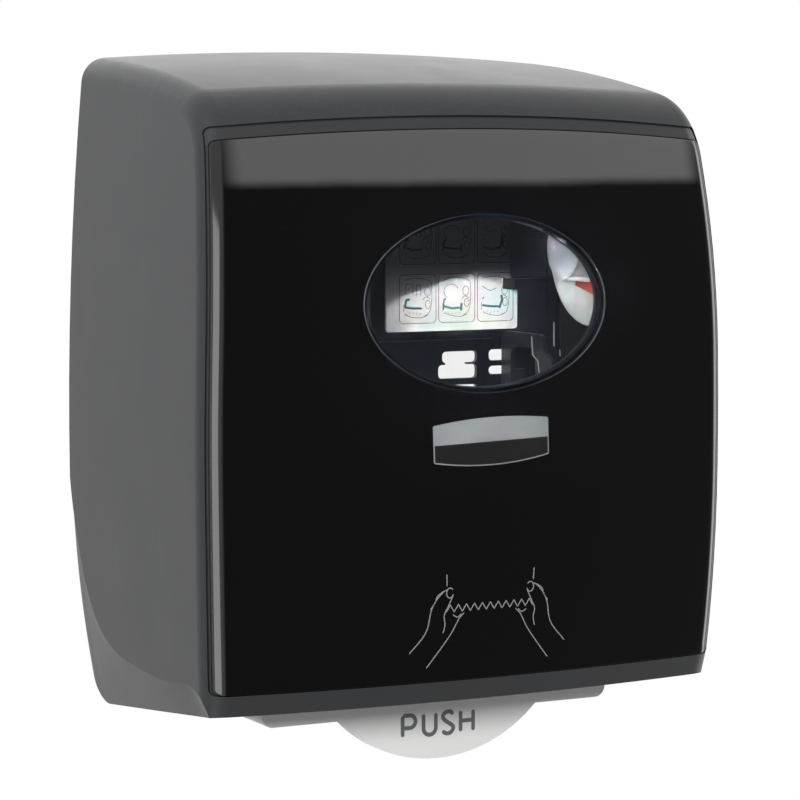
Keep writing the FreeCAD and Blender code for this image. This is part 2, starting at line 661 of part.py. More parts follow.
def side_plate():
    """Right-hand side plate of the mechanism, with tabs to the housing and bores for the shafts."""
    lever_y, lever_up = lever_axis()
    rear = -PLATE_T
    front = DRUM_Y - DRUM_R - 6
    plate = side_slab([(rear, SHELF_UP, 0), (rear, ROLL_UP - 50, 4), (-48, ROLL_UP - 50, 3),
                       (-52, ROLL_UP - 60, 3), (-60, ROLL_UP - 64, 3), (-61, DRUM_UP + 66, 6),
                       (front + 26, DRUM_UP + 56, 12), (front, DRUM_UP + 30, 10), (front, lever_up - 10, 8),
                       (lever_y + 16, lever_up - 10, 8), (lever_y + 26, SHELF_UP, 6)],
                      FRAME_X, FRAME_X + FRAME_T)
    tab = box(FRAME_X, FRAME_X + 14, rear - 2.5, rear, 66, 104)
    tab = tab.fuse(box(FRAME_X, FRAME_X + 14, rear - 2.5, rear, 118, 150))
    window = side_slab([(-22, 20, 5), (-22, 76, 5), (-52, 60, 5), (-52, 20, 5)], FRAME_X - 1, FRAME_X + FRAME_T + 1)
    upper = side_slab([(-14, 112, 5), (-14, 164, 5), (-40, 164, 5), (-46, 112, 5)], FRAME_X - 1, FRAME_X + FRAME_T + 1)
    bores = [rod(BUSH_R, FRAME_X - 1, FRAME_X + FRAME_T + 1, DRUM_Y, DRUM_UP),
             rod(LEVER_SHAFT_R + RUN, FRAME_X - 1, FRAME_X + FRAME_T + 1, lever_y, lever_up),
             rod(PINCH_SHAFT_R + RUN, FRAME_X - 1, FRAME_X + FRAME_T + 1, PINCH_PIVOT_Y, PINCH_PIVOT_UP)]
    for up in (85.0, 134.0):
        bores.append(Part.makeCylinder(2.0, 20, Vector(FRAME_X + 9, 0, up), Vector(0, -1, 0)))
    return cut_all(plate.fuse(tab), [window, upper] + bores).removeSplitter()


def frame_screws():
    """Four pan-head screws through the tabs of the side plates."""
    screws = []
    for up in (85.0, 134.0):
        head = Part.makeCylinder(3.6, 2.2, Vector(FRAME_X + 9, -PLATE_T - 2.5, up), Vector(0, -1, 0))
        shank = Part.makeCylinder(1.9, 2.5, Vector(FRAME_X + 9, -PLATE_T, up), Vector(0, -1, 0))
        cross = box(FRAME_X + 8.6, FRAME_X + 9.4, -PLATE_T - 6, -PLATE_T - 3.7, up - 2.2, up + 2.2)
        screws += both_sides(head.fuse(shank).cut(cross).removeSplitter())
    return Part.makeCompound(screws)


def drum_bushes():
    """Two flanged bushes that carry the drum shaft in the side plates."""
    body = rod(BUSH_R, FRAME_X - 1.0, FRAME_X + FRAME_T, DRUM_Y, DRUM_UP)
    flange = rod(BUSH_FLANGE_R, FRAME_X - BUSH_FLANGE_T, FRAME_X, DRUM_Y, DRUM_UP)
    bush = body.fuse(flange).cut(rod(SHAFT_R + RUN, FRAME_X - 5, FRAME_X + 9, DRUM_Y, DRUM_UP))
    return Part.makeCompound(both_sides(bush.removeSplitter()))


# ---------------------------------------------------------------- drum and knife

def wedge(y, up, radius, from_deg, to_deg, x0, x1):
    """Slice of a disc about a centre, between two angles."""
    start, end = around(y, up, radius, from_deg), around(y, up, radius, to_deg)
    middle = around(y, up, radius, (from_deg + to_deg) / 2)
    hub = Vector(x0, y, up)
    spots = [Vector(x0, *spot) for spot in (start, middle, end)]
    edges = [Part.LineSegment(hub, spots[0]).toShape(), Part.Arc(*spots).toShape(),
             Part.LineSegment(spots[2], hub).toShape()]
    return Part.Face(Part.Wire(edges)).extrude(Vector(x1 - x0, 0, 0))


def band_places():
    """Left edges of the rubber bands along the drum."""
    pitch = (2 * DRUM_HALF - 24 - BAND_W) / (BAND_COUNT - 1)
    return [-DRUM_HALF + 12 + pitch * k for k in range(BAND_COUNT)]


def knife_axis():
    """Pivot of the knife inside the drum."""
    return around(DRUM_Y, DRUM_UP, KNIFE_AXIS_R, KNIFE_AXIS_DEG)


def knife_line():
    """Length and tilt of the line from the knife's pivot to its cutting edge."""
    axis_y, axis_up = knife_axis()
    tip_y, tip_up = around(DRUM_Y, DRUM_UP, KNIFE_TIP_R, KNIFE_TIP_DEG)
    length = math.hypot(tip_y - axis_y, tip_up - axis_up)
    return length, math.degrees(math.atan2(tip_up - axis_up, axis_y - tip_y))


def drum_shell():
    """Hollow drum with end discs, a knife slot and grooves for the rubber bands."""
    drum = sleeve(DRUM_R, DRUM_R - DRUM_WALL, -DRUM_HALF, DRUM_HALF, DRUM_Y, DRUM_UP)
    knife_y, knife_up = knife_axis()
    discs = both_sides(rod(DRUM_R - 0.5, DRUM_HALF - DISC_T, DRUM_HALF, DRUM_Y, DRUM_UP))
    slot = wedge(DRUM_Y, DRUM_UP, DRUM_R + 5, SLOT_FROM, SLOT_TO, -KNIFE_HALF - 0.5, KNIFE_HALF + 0.5)
    slot = slot.cut(rod(DRUM_R - DRUM_WALL - 2, -DRUM_HALF, DRUM_HALF, DRUM_Y, DRUM_UP))
    drum = drum.cut(slot)
    for x in band_places():
        groove = sleeve(DRUM_R + 5, DRUM_R + BAND_PROUD - BAND_T, x, x + BAND_W, DRUM_Y, DRUM_UP)
        drum = drum.cut(groove)
    drum = join([drum] + discs)
    holes = both_sides(rod(KNIFE_PIN_R + RUN, DRUM_HALF - DISC_T - 1, DRUM_HALF + 1, knife_y, knife_up))
    for degrees in (100, 150, 200, 250):
        y, up = around(DRUM_Y, DRUM_UP, 23, degrees)
        holes += both_sides(rod(7, DRUM_HALF - DISC_T - 1, DRUM_HALF + 1, y, up))
    return cut_all(drum, holes + [rod(SHAFT_R, -DRUM_HALF - 1, DRUM_HALF + 1, DRUM_Y, DRUM_UP)])


def grip_bands():
    """Rubber bands round the drum, open at the knife slot."""
    bands = []
    inner = DRUM_R + BAND_PROUD - BAND_T
    gap = wedge(DRUM_Y, DRUM_UP, DRUM_R + 5, SLOT_FROM - 0.5, SLOT_TO + 0.5, -DRUM_HALF, DRUM_HALF)
    for x in band_places():
        band = sleeve(DRUM_R + BAND_PROUD, inner, x + 0.1, x + BAND_W - 0.1, DRUM_Y, DRUM_UP)
        bands.append(band.cut(gap))
    return Part.makeCompound(bands)


def drum_shaft():
    """Steel shaft through the drum, out to the feed wheel on the left and the gear on the right."""
    return rod(SHAFT_R, -WHEEL_X - WHEEL_T - 1.0, GEAR_X + GEAR_W + 3, DRUM_Y, DRUM_UP)


def knife_carrier():
    """Bar that carries the blade, with stub pins in the end discs and a follower arm on the left."""
    axis_y, axis_up = knife_axis()
    length, tilt = knife_line()
    bar = rod(5, -KNIFE_HALF, KNIFE_HALF, axis_y, axis_up)
    web = box(-KNIFE_HALF, KNIFE_HALF, -length + BLADE_HEIGHT - BLADE_LAP, 0, -KNIFE_WEB_T / 2, KNIFE_WEB_T / 2)
    web.rotate(Vector(0, 0, 0), Vector(1, 0, 0), -tilt)
    web.translate(Vector(0, axis_y, axis_up))
    pins = both_sides(rod(KNIFE_PIN_R, KNIFE_HALF - 1, DRUM_HALF, axis_y, axis_up))
    left_pin = rod(KNIFE_PIN_R, -DRUM_HALF - 3, -DRUM_HALF + 2, axis_y, axis_up)
    follower_y, follower_up = follower_axis()
    arm_x = -DRUM_HALF - 3.0
    arm = join([rod(5, arm_x, arm_x + 2.2, axis_y, axis_up), rod(4, arm_x, arm_x + 2.2, follower_y, follower_up)])
    link = box(arm_x, arm_x + 2.2, -FOLLOWER_ARM, 0, -3, 3)
    angle = math.degrees(math.atan2(follower_up - axis_up, -(follower_y - axis_y)))
    link.rotate(Vector(0, 0, 0), Vector(1, 0, 0), -angle)
    link.translate(Vector(0, axis_y, axis_up))
    stud = rod(FOLLOWER_PIN_R, arm_x - 4.3, arm_x + 1, follower_y, follower_up)
    return join([bar, web] + pins + [left_pin, arm, link, stud])


def follower_axis():
    """Centre of the cam roller at rest, on a path round the drum that just clears the cam's lobe."""
    axis_y, axis_up = knife_axis()
    far = CAM_LOBE_R + FOLLOWER_R + CAM_CLEAR
    inner = (KNIFE_AXIS_R ** 2 + FOLLOWER_ARM ** 2 - far ** 2) / (2 * KNIFE_AXIS_R * FOLLOWER_ARM)
    swing = KNIFE_AXIS_DEG + 180.0 - math.degrees(math.acos(inner))
    return around(axis_y, axis_up, FOLLOWER_ARM, swing)


def knife_blade():
    """Serrated steel blade: a row of V teeth along the front edge."""
    axis_y, axis_up = knife_axis()
    length, tilt = knife_line()
    start = length - BLADE_HEIGHT
    count = int((2 * KNIFE_HALF - 4) // TOOTH_PITCH)
    x = -count * TOOTH_PITCH / 2
    spots = [Vector(x, -start, 0)]
    for k in range(count):
        left = x + k * TOOTH_PITCH
        spots.append(Vector(left, -start - BLADE_HEIGHT + TOOTH_DEPTH, 0))
        spots.append(Vector(left + TOOTH_PITCH / 2, -start - BLADE_HEIGHT, 0))
    spots.append(Vector(x + count * TOOTH_PITCH, -start - BLADE_HEIGHT + TOOTH_DEPTH, 0))
    spots.append(Vector(x + count * TOOTH_PITCH, -start, 0))
    blade = Part.Face(Part.makePolygon(spots + [spots[0]])).extrude(Vector(0, 0, BLADE_T))
    blade.translate(Vector(0, 0, KNIFE_WEB_T / 2))
    blade.rotate(Vector(0, 0, 0), Vector(1, 0, 0), -tilt)
    blade.translate(Vector(0, axis_y, axis_up))
    return blade


def cam_roller():
    """Small roller on the follower arm."""
    y, up = follower_axis()
    x = -DRUM_HALF - 3.0
    return sleeve(FOLLOWER_R, FOLLOWER_PIN_R + 2 * RUN, x - 4.2, x - 0.2, y, up)


def knife_cam():
    """Fixed cam on the left side plate: round, with a lobe that swings the knife out."""
    x0, x1 = -FRAME_X, -FRAME_X + CAM_T
    reach = CAM_LOBE_R - CAM_LOBE_NOSE_R
    base = rod(CAM_BASE_R, x0, x1, DRUM_Y, DRUM_UP)
    lobe = rod(CAM_LOBE_NOSE_R, x0, x1, *around(DRUM_Y, DRUM_UP, reach, CAM_LOBE_DEG))
    lean = math.degrees(math.acos((CAM_BASE_R - CAM_LOBE_NOSE_R) / reach))
    centre = around(DRUM_Y, DRUM_UP, reach, CAM_LOBE_DEG)
    corners = [around(DRUM_Y, DRUM_UP, CAM_BASE_R, CAM_LOBE_DEG - lean),
               around(*centre, CAM_LOBE_NOSE_R, CAM_LOBE_DEG - lean),
               around(*centre, CAM_LOBE_NOSE_R, CAM_LOBE_DEG + lean),
               around(DRUM_Y, DRUM_UP, CAM_BASE_R, CAM_LOBE_DEG + lean)]
    flanks = side_slab([(y, up, 0) for y, up in corners], x0, x1)
    return join([base, lobe, flanks]).cut(rod(BUSH_FLANGE_R, x0 - 1, x1 + 1, DRUM_Y, DRUM_UP))


def feed_wheel():
    """Scalloped thumb wheel on the left end of the drum shaft, for feeding paper by hand."""
    x0, x1 = -WHEEL_X - WHEEL_T, -WHEEL_X
    wheel = rod(WHEEL_R, x0, x1, DRUM_Y, DRUM_UP)
    grips = []
    for k in range(WHEEL_GRIPS):
        spot = around(DRUM_Y, DRUM_UP, WHEEL_R + 0.5 * WHEEL_GRIP_R, 360.0 * k / WHEEL_GRIPS)
        grips.append(rod(WHEEL_GRIP_R, x0 - 1, x1 + 1, *spot))
    dish = rod(WHEEL_R - 5, x0 - 1, x0 + 2.5, DRUM_Y, DRUM_UP).cut(rod(8, x0 - 1, x0 + 3, DRUM_Y, DRUM_UP))
    return cut_all(wheel, grips + [dish, rod(SHAFT_R, x0 - 1, x1 + 1, DRUM_Y, DRUM_UP)])


# ---------------------------------------------------------------- pinch roller

def pinch_frame():
    """Yoke of the pinch roller: two arms and a cross bar, on pivots in the side plates."""
    y, up = pinch_axis()
    tilt = math.degrees(math.atan2(up - PINCH_PIVOT_UP, PINCH_PIVOT_Y - y))
    reach = math.hypot(y - PINCH_PIVOT_Y, up - PINCH_PIVOT_UP)
    link = box(PINCH_ARM_X, PINCH_ARM_X + PINCH_ARM_T, -reach, 0, -7, 7)
    link.rotate(Vector(0, 0, 0), Vector(1, 0, 0), -tilt)
    link.translate(Vector(0, PINCH_PIVOT_Y, PINCH_PIVOT_UP))
    arm = join([link, rod(7, PINCH_ARM_X, PINCH_ARM_X + PINCH_ARM_T, y, up),
                rod(7, PINCH_ARM_X, PINCH_ARM_X + PINCH_ARM_T, PINCH_PIVOT_Y, PINCH_PIVOT_UP),
                rod(PINCH_SHAFT_R, PINCH_ARM_X, FRAME_X + FRAME_T + 1, PINCH_PIVOT_Y, PINCH_PIVOT_UP)])
    bar = box(-PINCH_ARM_X - 1, PINCH_ARM_X + 1, PINCH_PIVOT_Y - 8, PINCH_PIVOT_Y + 4,
              PINCH_PIVOT_UP + 2, PINCH_PIVOT_UP + 5)
    stiffener = box(-PINCH_ARM_X - 1, PINCH_ARM_X + 1, PINCH_PIVOT_Y + 1, PINCH_PIVOT_Y + 4,
                    PINCH_PIVOT_UP - 4, PINCH_PIVOT_UP + 5)
    touch = front_slab([(-16, PINCH_PIVOT_UP + 3, 0), (16, PINCH_PIVOT_UP + 3, 0),
                        (13, PINCH_PIVOT_UP + 26, 5), (-13, PINCH_PIVOT_UP + 26, 5)],
                       PINCH_PIVOT_Y + 1, PINCH_PIVOT_Y + 4)
    yoke = join(both_sides(arm) + [bar, stiffener, touch])
    return cut_all(yoke, both_sides(rod(PINCH_SHAFT_R + RUN, PINCH_ARM_X - 1, PINCH_ARM_X + 4, y, up)))


def pinch_shaft():
    """Steel shaft of the pinch roller."""
    y, up = pinch_axis()
    half = PINCH_ARM_X + PINCH_ARM_T + 1.5
    return rod(PINCH_SHAFT_R, -half, half, y, up)


def pinch_roller():
    """Three rubber sleeves on the pinch shaft, with rounded ends."""
    y, up = pinch_axis()
    length = (2 * PINCH_HALF - 16) / 3
    sleeves = []
    for k in range(3):
        x = -PINCH_HALF + k * (length + 8)
        bar = rod(PINCH_R, x, x + length, y, up)
        bar = bar.makeFillet(1.5, [e for e in bar.Edges if abs(e.BoundBox.XLength) < 0.01])
        sleeves.append(bar.cut(rod(PINCH_SHAFT_R, x - 1, x + length + 1, y, up)))
    return Part.makeCompound(sleeves)


def pinch_springs():
    """Torsion springs on the yoke's pivots, between its arms and the side plates."""
    start = PINCH_ARM_X + PINCH_ARM_T + 0.2
    coil = sleeve(6.2, 5.0, start, FRAME_X - 0.2, PINCH_PIVOT_Y, PINCH_PIVOT_UP)
    return Part.makeCompound(both_sides(coil))


# ---------------------------------------------------------------- lever and gears

def gear_face(y, up, teeth, tooth_deg, x):
    """Involute gear outline about a centre, one tooth pointing at tooth_deg."""
    pitch_r = GEAR_MODULE * teeth / 2
    base_r = pitch_r * math.cos(math.radians(PRESSURE_DEG))
    tip_r = pitch_r + 0.9 * GEAR_MODULE
    root_r = pitch_r - 1.2 * GEAR_MODULE
    half_tooth = math.pi / 2 / teeth - BACKLASH / 2 / pitch_r

    def unwound(radius):
        """Polar angle of the involute at a radius, in radians."""
        ratio = max(radius / base_r, 1.0)
        return math.sqrt(ratio ** 2 - 1) - math.acos(1 / ratio)

    flank = [max(root_r + 0.2, base_r), pitch_r, tip_r]
    widths = [half_tooth + unwound(pitch_r) - unwound(radius) for radius in flank]
    spots = []
    for k in range(teeth):
        middle = math.radians(tooth_deg) + 2 * math.pi * k / teeth
        left = [(radius, middle - width) for radius, width in zip(flank, widths)]
        right = [(radius, middle + width) for radius, width in zip(flank, widths)]
        spots.append((root_r, left[0][1]))
        spots += left + right[::-1]
        spots.append((root_r, right[0][1]))
    points = [Vector(x, *around(y, up, radius, math.degrees(angle))) for radius, angle in spots]
    return Part.Face(Part.makePolygon(points + [points[0]]))


def clutch_gear():
    """Pinion with a one-way clutch hub on the right end of the drum shaft."""
    gap_deg = LEVER_AXIS_DEG + 180.0 / PINION_TEETH
    gear = gear_face(DRUM_Y, DRUM_UP, PINION_TEETH, gap_deg, GEAR_X).extrude(Vector(GEAR_W, 0, 0))
    hub = rod(10, GEAR_X - 1.0, GEAR_X + GEAR_W + 1.5, DRUM_Y, DRUM_UP)
    return join([gear, hub]).cut(rod(SHAFT_R + RUN, GEAR_X - 5, GEAR_X + GEAR_W + 9, DRUM_Y, DRUM_UP))


def feed_sector():
    """Toothed sector on the right end of the lever shaft."""
    y, up = lever_axis()
    toward_drum = LEVER_AXIS_DEG + 180.0
    step = 360.0 / SECTOR_TEETH
    full = gear_face(y, up, SECTOR_TEETH, toward_drum, GEAR_X).extrude(Vector(GEAR_W, 0, 0))
    low = toward_drum - (SECTOR_COUNT / 2 - 1.0) * step
    high = toward_drum + (SECTOR_COUNT / 2 + 1.0) * step
    sector = full.common(wedge(y, up, 60, low, high, GEAR_X - 1, GEAR_X + GEAR_W + 1))
    hub = rod(LEVER_BOSS_R + 2, GEAR_X - 1.0, GEAR_X + GEAR_W, y, up)
    lightening_y, lightening_up = around(y, up, 20, (low + high) / 2)
    hole = rod(5, GEAR_X - 2, GEAR_X + GEAR_W + 1, lightening_y, lightening_up)
    bore = rod(LEVER_SHAFT_R, GEAR_X - 5, GEAR_X + GEAR_W + 5, y, up)
    return cut_all(join([sector, hub]), [hole, bore])


def lever_shaft():
    """Steel shaft of the lever, from the left side plate to the sector outside the right one."""
    y, up = lever_axis()
    return rod(LEVER_SHAFT_R, -FRAME_X - FRAME_T - 3, GEAR_X + GEAR_W + 2, y, up)


def push_lever():
    """Light grey lever: a front wall with a rounded tab, end walls, ribs and shaft bosses."""
    y, up = lever_axis()
    face_y = y - LEVER_FACE
    rear_y = face_y + LEVER_DEPTH
    block = front_slab([(-LEVER_HALF, LEVER_LOW_UP, LEVER_CORNER_R), (LEVER_HALF, LEVER_LOW_UP, LEVER_CORNER_R),
                        (LEVER_HALF, up + 12, 0), (-LEVER_HALF, up + 12, 0)], face_y, rear_y)
    top = up + LEVER_BOSS_R + 1.5
    profile = side_slab([(face_y, LEVER_LOW_UP - 1, 0), (face_y, top, 2), (y + 9, top, 6),
                         (rear_y, LEVER_LOW_UP + 12, 5), (rear_y, LEVER_LOW_UP - 1, 0)],
                        -LEVER_HALF - 1, LEVER_HALF + 1)
    inner = LEVER_HALF - LEVER_END_T
    hollow = box(-inner, inner, face_y + LEVER_T, rear_y + 1, LEVER_LOW_UP - 1, up + 20)
    shell = block.common(profile).cut(hollow)
    drop = LEVER_LOW_UP - TAB_LOW_UP
    tab_r = (TAB_HALF ** 2 + drop ** 2) / (2 * drop)
    disc = Part.makeCylinder(tab_r, LEVER_T, Vector(0, face_y, TAB_LOW_UP + tab_r), Vector(0, 1, 0))
    tab = disc.common(box(-TAB_HALF - 1, TAB_HALF + 1, face_y - 1, face_y + 10, TAB_LOW_UP - 1, LEVER_LOW_UP + 0.5))
    boss = rod(LEVER_BOSS_R, inner - 3, LEVER_HALF + 3, y, up)
    rib = side_slab([(face_y + 1, TAB_LOW_UP + 8, 0), (face_y + 1, up + 7, 0), (y + 7, up + 7, 5),
                     (y + 7, up - 8, 5), (face_y + 6, TAB_LOW_UP + 8, 2)], 24, 26)
    shelf = box(-inner - 1, inner + 1, face_y + 1, face_y + 12, LEVER_LOW_UP + 9, LEVER_LOW_UP + 11)
    return join([shell, tab, shelf] + both_sides(boss) + both_sides(rib)).cut(rod(LEVER_SHAFT_R, -130, 130, y, up))


def lever_spring():
    """Torsion spring on the lever shaft, beside the left side plate."""
    y, up = lever_axis()
    return sleeve(5.6, LEVER_SHAFT_R + 0.3, -FRAME_X + 0.3, -LEVER_HALF - 3.3, y, up)


def drum_clip():
    """Retaining clip at the right end of the drum shaft."""
    return sleeve(7, SHAFT_R, GEAR_X + GEAR_W + 1.7, GEAR_X + GEAR_W + 2.7, DRUM_Y, DRUM_UP)


def lever_clips():
    """Retaining clips at both ends of the lever shaft."""
    lever_y, lever_up = lever_axis()
    right = sleeve(6, LEVER_SHAFT_R, GEAR_X + GEAR_W + 0.2, GEAR_X + GEAR_W + 1.2, lever_y, lever_up)
    left = sleeve(6, LEVER_SHAFT_R, -FRAME_X - FRAME_T - 1.5, -FRAME_X - FRAME_T - 0.5, lever_y, lever_up)
    return Part.makeCompound([right, left])


# ---------------------------------------------------------------- paper guides

def front_guide():
    """Upright guide ahead of the drum, flared at its top, with end tabs on the side plates."""
    y = DRUM_Y - DRUM_R - GUIDE_GAP
    plate = side_slab([(y - GUIDE_T, 4, 0), (y, 4, 0), (y, 42, 0), (y - 6, 54, 0), (y - 6 - GUIDE_T, 54, 0),
                       (y - GUIDE_T, 42, 0)], -FRAME_X - FRAME_T, FRAME_X + FRAME_T)
    tabs = both_sides(side_slab([(y - 1, 6, 2), (y + 14, 6, 2), (y + 14, 26, 2), (y - 1, 26, 2)],
                                FRAME_X + FRAME_T + 0.1, FRAME_X + FRAME_T + 2.1))
    end = both_sides(box(FRAME_X, FRAME_X + FRAME_T + 2.1, y - GUIDE_T, y, 6, 26))
    return join([plate] + tabs + end)


def drum_shroud():
    """Curved guard behind and below the drum, between the side plates."""
    inner = DRUM_R + SHROUD_GAP
    ring = sleeve(inner + SHROUD_T, inner, -FRAME_X + 0.2, FRAME_X - 0.2, DRUM_Y, DRUM_UP)
    return ring.common(wedge(DRUM_Y, DRUM_UP, inner + 10, 186, 262, -FRAME_X, FRAME_X))


# ---------------------------------------------------------------- roll holder

def roll_arm():
    """Right-hand arm: a tapering plate with a knuckle at the wall, a light pad and the hub's axle."""
    root = ARM_ROOT_HALF - 1.0
    plate = side_slab([(ARM_PIVOT_Y - 4, ROLL_UP - root, 2), (ARM_PIVOT_Y - 4, ROLL_UP + root, 2),
                       (ROLL_Y + 22, ROLL_UP + ARM_TIP_R, 20), (ROLL_Y, ROLL_UP + ARM_TIP_R, 0),
                       (ROLL_Y, ROLL_UP - ARM_TIP_R, 0), (ROLL_Y + 22, ROLL_UP - ARM_TIP_R, 20)],
                      ARM_X, ARM_X + ARM_T)
    tip = rod(ARM_TIP_R, ARM_X, ARM_X + ARM_T, ROLL_Y, ROLL_UP)
    ridge = side_slab([(ARM_PIVOT_Y - 8, ROLL_UP + 8, 2), (ARM_PIVOT_Y - 8, ROLL_UP + 11, 1), (ROLL_Y, ROLL_UP + 9, 1),
                       (ROLL_Y, ROLL_UP + 6, 1)], ARM_X + ARM_T - 0.5, ARM_X + ARM_T + 5)
    knuckle = post(ARM_KNUCKLE_R, ARM_PIVOT_X, ARM_PIVOT_Y, ROLL_UP - ARM_ROOT_HALF, ROLL_UP + ARM_ROOT_HALF)
    bridge = box(ARM_X, ARM_PIVOT_X, ARM_PIVOT_Y - 6, ARM_PIVOT_Y - 1, ROLL_UP - root, ROLL_UP + root)
    pad = box(ARM_X - 1.2, ARM_X + 0.5, ARM_PIVOT_Y - 43, ARM_PIVOT_Y - 16, ROLL_UP - 18, ROLL_UP + 2.5)
    axle = rod(HUB_AXLE_R, HUB_FACE_X - SPIGOT_LENGTH + 4, ARM_X + 1, ROLL_Y, ROLL_UP)
    collar = rod(HUB_AXLE_R + 3, HUB_FACE_X + HUB_FLANGE_T + 0.3, ARM_X + 1, ROLL_Y, ROLL_UP)
    arm = join([plate, tip, ridge, knuckle, bridge, pad, axle, collar])
    bore = post(ARM_PIN_R + RUN, ARM_PIVOT_X, ARM_PIVOT_Y, ROLL_UP - 40, ROLL_UP + 40)
    return arm.cut(bore)


def roll_hub():
    """Right-hand hub: a large flange and a hollow spigot that enters the roll's core."""
    start = HUB_FACE_X - SPIGOT_LENGTH
    flange = rod(HUB_FLANGE_R, HUB_FACE_X, HUB_FACE_X + HUB_FLANGE_T, ROLL_Y, ROLL_UP)
    flange = flange.makeFillet(1.0, [e for e in flange.Edges if abs(e.BoundBox.XLength) < 0.01])
    spigot = Part.makeCone(SPIGOT_R - 1.5, SPIGOT_R, SPIGOT_LENGTH, Vector(start, ROLL_Y, ROLL_UP), Vector(1, 0, 0))
    spigot = spigot.cut(rod(SPIGOT_R - 1.5 - SPIGOT_WALL, start + SPIGOT_WALL, HUB_FACE_X, ROLL_Y, ROLL_UP))
    centre = rod(HUB_AXLE_R + 2.5, start + 0.5, HUB_FACE_X + HUB_FLANGE_T, ROLL_Y, ROLL_UP)
    spokes = []
    for k in range(3):
        spoke = box(start + 1, HUB_FACE_X + 1, ROLL_Y - 15.5, ROLL_Y, ROLL_UP - 1, ROLL_UP + 1)
        spoke.rotate(Vector(0, ROLL_Y, ROLL_UP), Vector(1, 0, 0), 120 * k + 30)
        spokes.append(spoke)
    hub = join([flange, spigot, centre] + spokes)
    return hub.cut(rod(HUB_AXLE_R + RUN, start + 2.5, HUB_FACE_X + 20, ROLL_Y, ROLL_UP))


def arm_pins():
    """Steel pins of the two arm hinges."""
    low = ROLL_UP - ARM_ROOT_HALF - LUG_T - 0.4
    high = ROLL_UP + ARM_ROOT_HALF + LUG_T + 9
    return Part.makeCompound(both_sides(post(ARM_PIN_R, ARM_PIVOT_X, ARM_PIVOT_Y, low, high)))


def arm_springs():
    """Torsion springs on the arm pins, above the upper lugs, that press the arms inwards."""
    low = ROLL_UP + ARM_ROOT_HALF + LUG_T + 0.7
    coil = post(5.0, ARM_PIVOT_X, ARM_PIVOT_Y, low, low + 7.5)
    coil = coil.cut(post(ARM_PIN_R + 0.3, ARM_PIVOT_X, ARM_PIVOT_Y, low - 1, low + 9))
    return Part.makeCompound(both_sides(coil))


def stop_tab():
    """Coloured tab on the right-hand hub's flange."""
    tab = box(HUB_FACE_X - 1.6, HUB_FACE_X, -10.5, 10.5, -4.5, 4.5)
    tab.rotate(Vector(0, 0, 0), Vector(1, 0, 0), 12)
    tab.translate(Vector(0, ROLL_Y, ROLL_UP - 18))
    return tab.cut(rod(SPIGOT_R, HUB_FACE_X - 5, HUB_FACE_X + 5, ROLL_Y, ROLL_UP))


# ---------------------------------------------------------------- pieces

def write_parts():
    """Build every piece and write it under its name."""
    os.makedirs("parts", exist_ok=True)
    save("cover_shell", cover_shell())
    save("front_panel", front_panel())
    save("window_lens", window_lens())
    save("lens_ring", lens_ring())
    save("lock_barrel", lock_barrel())
    save("lock_tongue", lock_tongue())
    save("lock_keeper", lock_keeper())
    save("rear_housing", rear_housing())
    save("instruction_plate", instruction_plate())
    save("cover_hinge_pins", hinge_pins())
    right, left = both_sides(side_plate())
    save("side_plate_right", right)
    save("side_plate_left", left)
    save("frame_screws", frame_screws())
    save("drum_bushes", drum_bushes())
    save("drum_shell", drum_shell())
    save("grip_bands", grip_bands())
    save("drum_shaft", drum_shaft())
    save("knife_carrier", knife_carrier())
    save("knife_blade", knife_blade())
    save("cam_roller", cam_roller())
    save("knife_cam", knife_cam())
    save("feed_wheel", feed_wheel())
    save("pinch_frame", pinch_frame())
    save("pinch_shaft", pinch_shaft())
    save("pinch_roller", pinch_roller())
    save("pinch_springs", pinch_springs())
    save("push_lever", push_lever())
    save("lever_shaft", lever_shaft())
    save("lever_clips", lever_clips())
    save("feed_sector", feed_sector())
    save("lever_spring", lever_spring())
    save("clutch_gear", clutch_gear())
    save("drum_clip", drum_clip())
    save("front_guide", front_guide())
    save("drum_shroud", drum_shroud())
    save("roll_arm_right", roll_arm())
    save("roll_arm_left", both_sides(roll_arm())[1])
    save("roll_hub_right", roll_hub())
    save("roll_hub_left", both_sides(roll_hub())[1])
    save("arm_pins", arm_pins())
    save("arm_springs", arm_springs())
    save("roll_stop_tab", stop_tab())


write_parts()
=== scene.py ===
"""Looks of a wall-mounted lever paper towel dispenser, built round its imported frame.

Lengths are in millimetres and heights ("up") are counted from the lower edge of the cover's
front lip. ``to_row`` turns such points into the frame's metres, whose origin lies higher up.
"""

from __future__ import annotations

import json
import logging
import math
from collections.abc import Callable, Mapping, Sequence
from dataclasses import dataclass, field
from enum import Enum
from typing import Any

